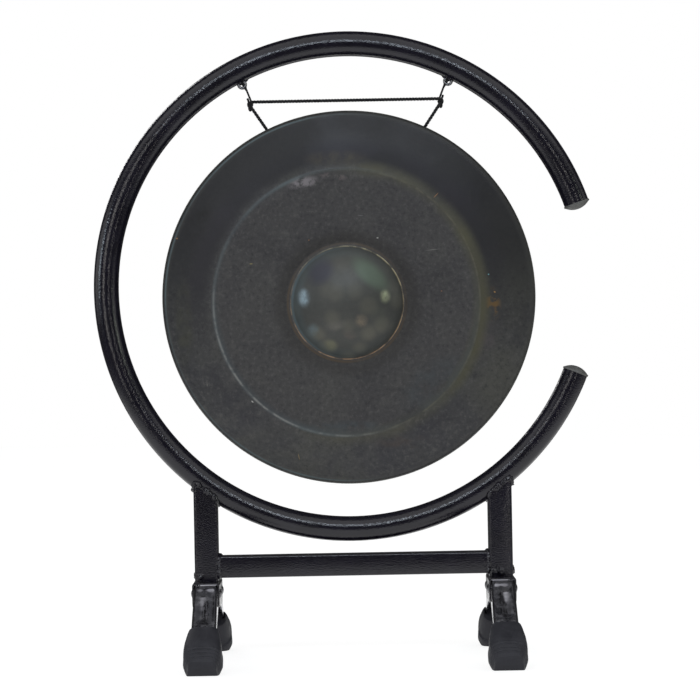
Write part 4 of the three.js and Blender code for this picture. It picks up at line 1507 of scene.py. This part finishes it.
# %% [markdown]
# The stand is shown on a plain pale floor with soft light all round. The white surroundings are seen
# by the camera and by reflections, and the light that falls on the object is kept at a plain level,
# so that colours render as they are written. The floor glows a little to the camera, which keeps the
# object's soft shadow. In reflections it fades to dark away from the stand, as a table top ends.

# %% Floor
floor_glow = 1.32
floor_glow_share = 0.62
floor_near = 0.5
floor_far = 1.3
floor_far_level = 0.08
floor_half_side = 6


def make_floor():
    bm = bmesh.new()
    bmesh.ops.create_grid(bm, x_segments=1, y_segments=1, size=floor_half_side)
    mesh = bpy.data.meshes.new("floor")
    bm.to_mesh(mesh)
    bm.free()
    floor = bpy.data.objects.new("floor", mesh)
    scene.collection.objects.link(floor)
    finish = Finish("pale_floor")
    finish.set(Roughness=0.9, Specular_IOR_Level=0.1)
    whites = [(0.3, (0.88, 0.88, 0.88)), (0.7, (0.90, 0.90, 0.90))]
    finish.drive("Base Color", finish.ramp(finish.noise(3), whites))
    glow = finish.add("ShaderNodeEmission")
    glow.inputs["Strength"].default_value = floor_glow
    rays = finish.add("ShaderNodeLightPath").outputs
    away = finish.add("ShaderNodeVectorMath", operation="LENGTH")
    finish.join(finish.place, away.inputs[0])
    mirrored = finish.math("MAXIMUM", rays["Is Glossy Ray"], rays["Is Transmission Ray"])
    seen = finish.math("MULTIPLY", finish.math("MAXIMUM", rays["Is Camera Ray"], mirrored), floor_glow_share)
    blend = finish.add("ShaderNodeMixShader")
    finish.join(seen, blend.inputs["Fac"])
    finish.join(finish.shader.outputs["BSDF"], blend.inputs[1])
    finish.join(glow.outputs["Emission"], blend.inputs[2])
    dark = finish.add("ShaderNodeEmission")
    dark.inputs["Strength"].default_value = floor_far_level
    far = finish.grey(away.outputs["Value"], 0, 1, floor_near, floor_far)
    fade = finish.add("ShaderNodeMixShader")
    finish.join(finish.math("MULTIPLY", mirrored, far), fade.inputs["Fac"])
    finish.join(blend.outputs["Shader"], fade.inputs[1])
    finish.join(dark.outputs["Emission"], fade.inputs[2])
    finish.join(fade.outputs["Shader"], finish.tree.nodes["Material Output"].inputs["Surface"])
    mesh.materials.append(finish.material)
    print("floor:", 2 * floor_half_side, "m square")


make_floor()

# %% [markdown]
# The black paint and the chrome show little colour of their own: they look like what they reflect.
# A studio has a white ceiling and floor and a darker room at eye level, and that contrast draws the
# grey bands and black edges along a round tube. The surroundings are white to the camera, and
# reflections see a white ceiling and pale side walls that fade into the room.

# %% Surroundings
ceiling_low = math.sin(math.radians(24))
ceiling_high = math.sin(math.radians(34))
ceiling_front = -0.05
ceiling_back = 0.12
wall_start = 0.86
wall_full = 0.96
wall_level = 0.8
room_level = 0.05
fill_level = 0.55


def make_world():
    world = bpy.data.worlds.new("surroundings")
    world.use_nodes = True
    scene.world = world
    tree = world.node_tree
    background = tree.nodes["Background"]

    def step(source, start, end, low=0.0, high=1.0):
        node = tree.nodes.new("ShaderNodeMapRange")
        node.interpolation_type = "SMOOTHSTEP"
        for key, value in (("From Min", start), ("From Max", end), ("To Min", low), ("To Max", high)):
            node.inputs[key].default_value = value
        tree.links.new(source, node.inputs["Value"])
        return node.outputs["Result"]

    def combine(operation, first, second):
        node = tree.nodes.new("ShaderNodeMath")
        node.operation = operation
        for socket, value in zip(node.inputs, (first, second)):
            if isinstance(value, (int, float)):
                socket.default_value = value
            else:
                tree.links.new(value, socket)
        return node.outputs["Value"]

    rays = tree.nodes.new("ShaderNodeLightPath").outputs
    direction = tree.nodes.new("ShaderNodeSeparateXYZ")
    tree.links.new(tree.nodes.new("ShaderNodeTexCoord").outputs["Generated"], direction.inputs["Vector"])
    above = step(direction.outputs["Z"], ceiling_low, ceiling_high)
    before = step(direction.outputs["Y"], ceiling_front, ceiling_back, 1, 0)
    walls = step(combine("ABSOLUTE", direction.outputs["X"], 0), wall_start, wall_full, 0, wall_level)
    studio = step(combine("MAXIMUM", combine("MULTIPLY", above, before), walls), 0, 1, room_level, 1)
    mirror_rays = combine("MAXIMUM", rays["Is Glossy Ray"], rays["Is Transmission Ray"])
    direct = combine("MAXIMUM", rays["Is Camera Ray"], combine("MULTIPLY", mirror_rays, studio))
    fill = combine("MULTIPLY", rays["Is Diffuse Ray"], fill_level)
    background.inputs["Color"].default_value = (1, 1, 1, 1)
    tree.links.new(combine("MAXIMUM", direct, fill), background.inputs["Strength"])


make_world()
print("surroundings: room level", room_level, "and fill", fill_level)

# %% [markdown]
# A few lamps add the crisp lines: a long low strip above the camera, a soft tall one to its left and
# a thin one to its right, two small ones far out at the sides that touch the dome of the gong, and
# one behind for the back. A lamp is given by its radiance, so one that is made larger doesn't look
# brighter, and it is placed by its direction from the ring's centre, in degrees.

# %% Lamps
def make_lamp(name, azimuth, elevation, distance, size, radiance, colour=(1, 1, 1)):
    turn, rise = math.radians(azimuth), math.radians(elevation)
    direction = Vector((math.sin(turn) * math.cos(rise), -math.cos(turn) * math.cos(rise), math.sin(rise)))
    data = bpy.data.lights.new(name, "AREA")
    data.shape = "RECTANGLE"
    data.size, data.size_y = size
    data.energy = radiance * math.pi * size[0] * size[1]
    data.color = colour
    lamp = bpy.data.objects.new(name, data)
    aim = (-direction).to_track_quat("-Z", "Y").to_matrix().to_4x4()
    lamp.matrix_world = Matrix.Translation(ring_centre + direction * distance) @ aim
    lamp.visible_camera = False
    scene.collection.objects.link(lamp)
    print("lamp", name, round(data.energy, 1), "W")


make_lamp("strip_above", 0, 28, 2.6, (1.8, 0.2), 14, (0.80, 0.89, 1.0))
make_lamp("soft_left", -27, 4, 2.6, (0.55, 1.5), 3.0, (1.0, 0.97, 0.94))
make_lamp("strip_right", 19, 4, 2.6, (0.07, 1.5), 9, (1.0, 0.97, 0.93))
make_lamp("far_left", -66, 8, 2.4, (0.35, 0.5), 9, (0.80, 0.90, 1.0))
make_lamp("far_right", 58, 12, 2.4, (0.3, 0.4), 7, (0.92, 1.0, 0.85))
make_lamp("rear_left", -150, 25, 2.6, (0.3, 1.2), 5)
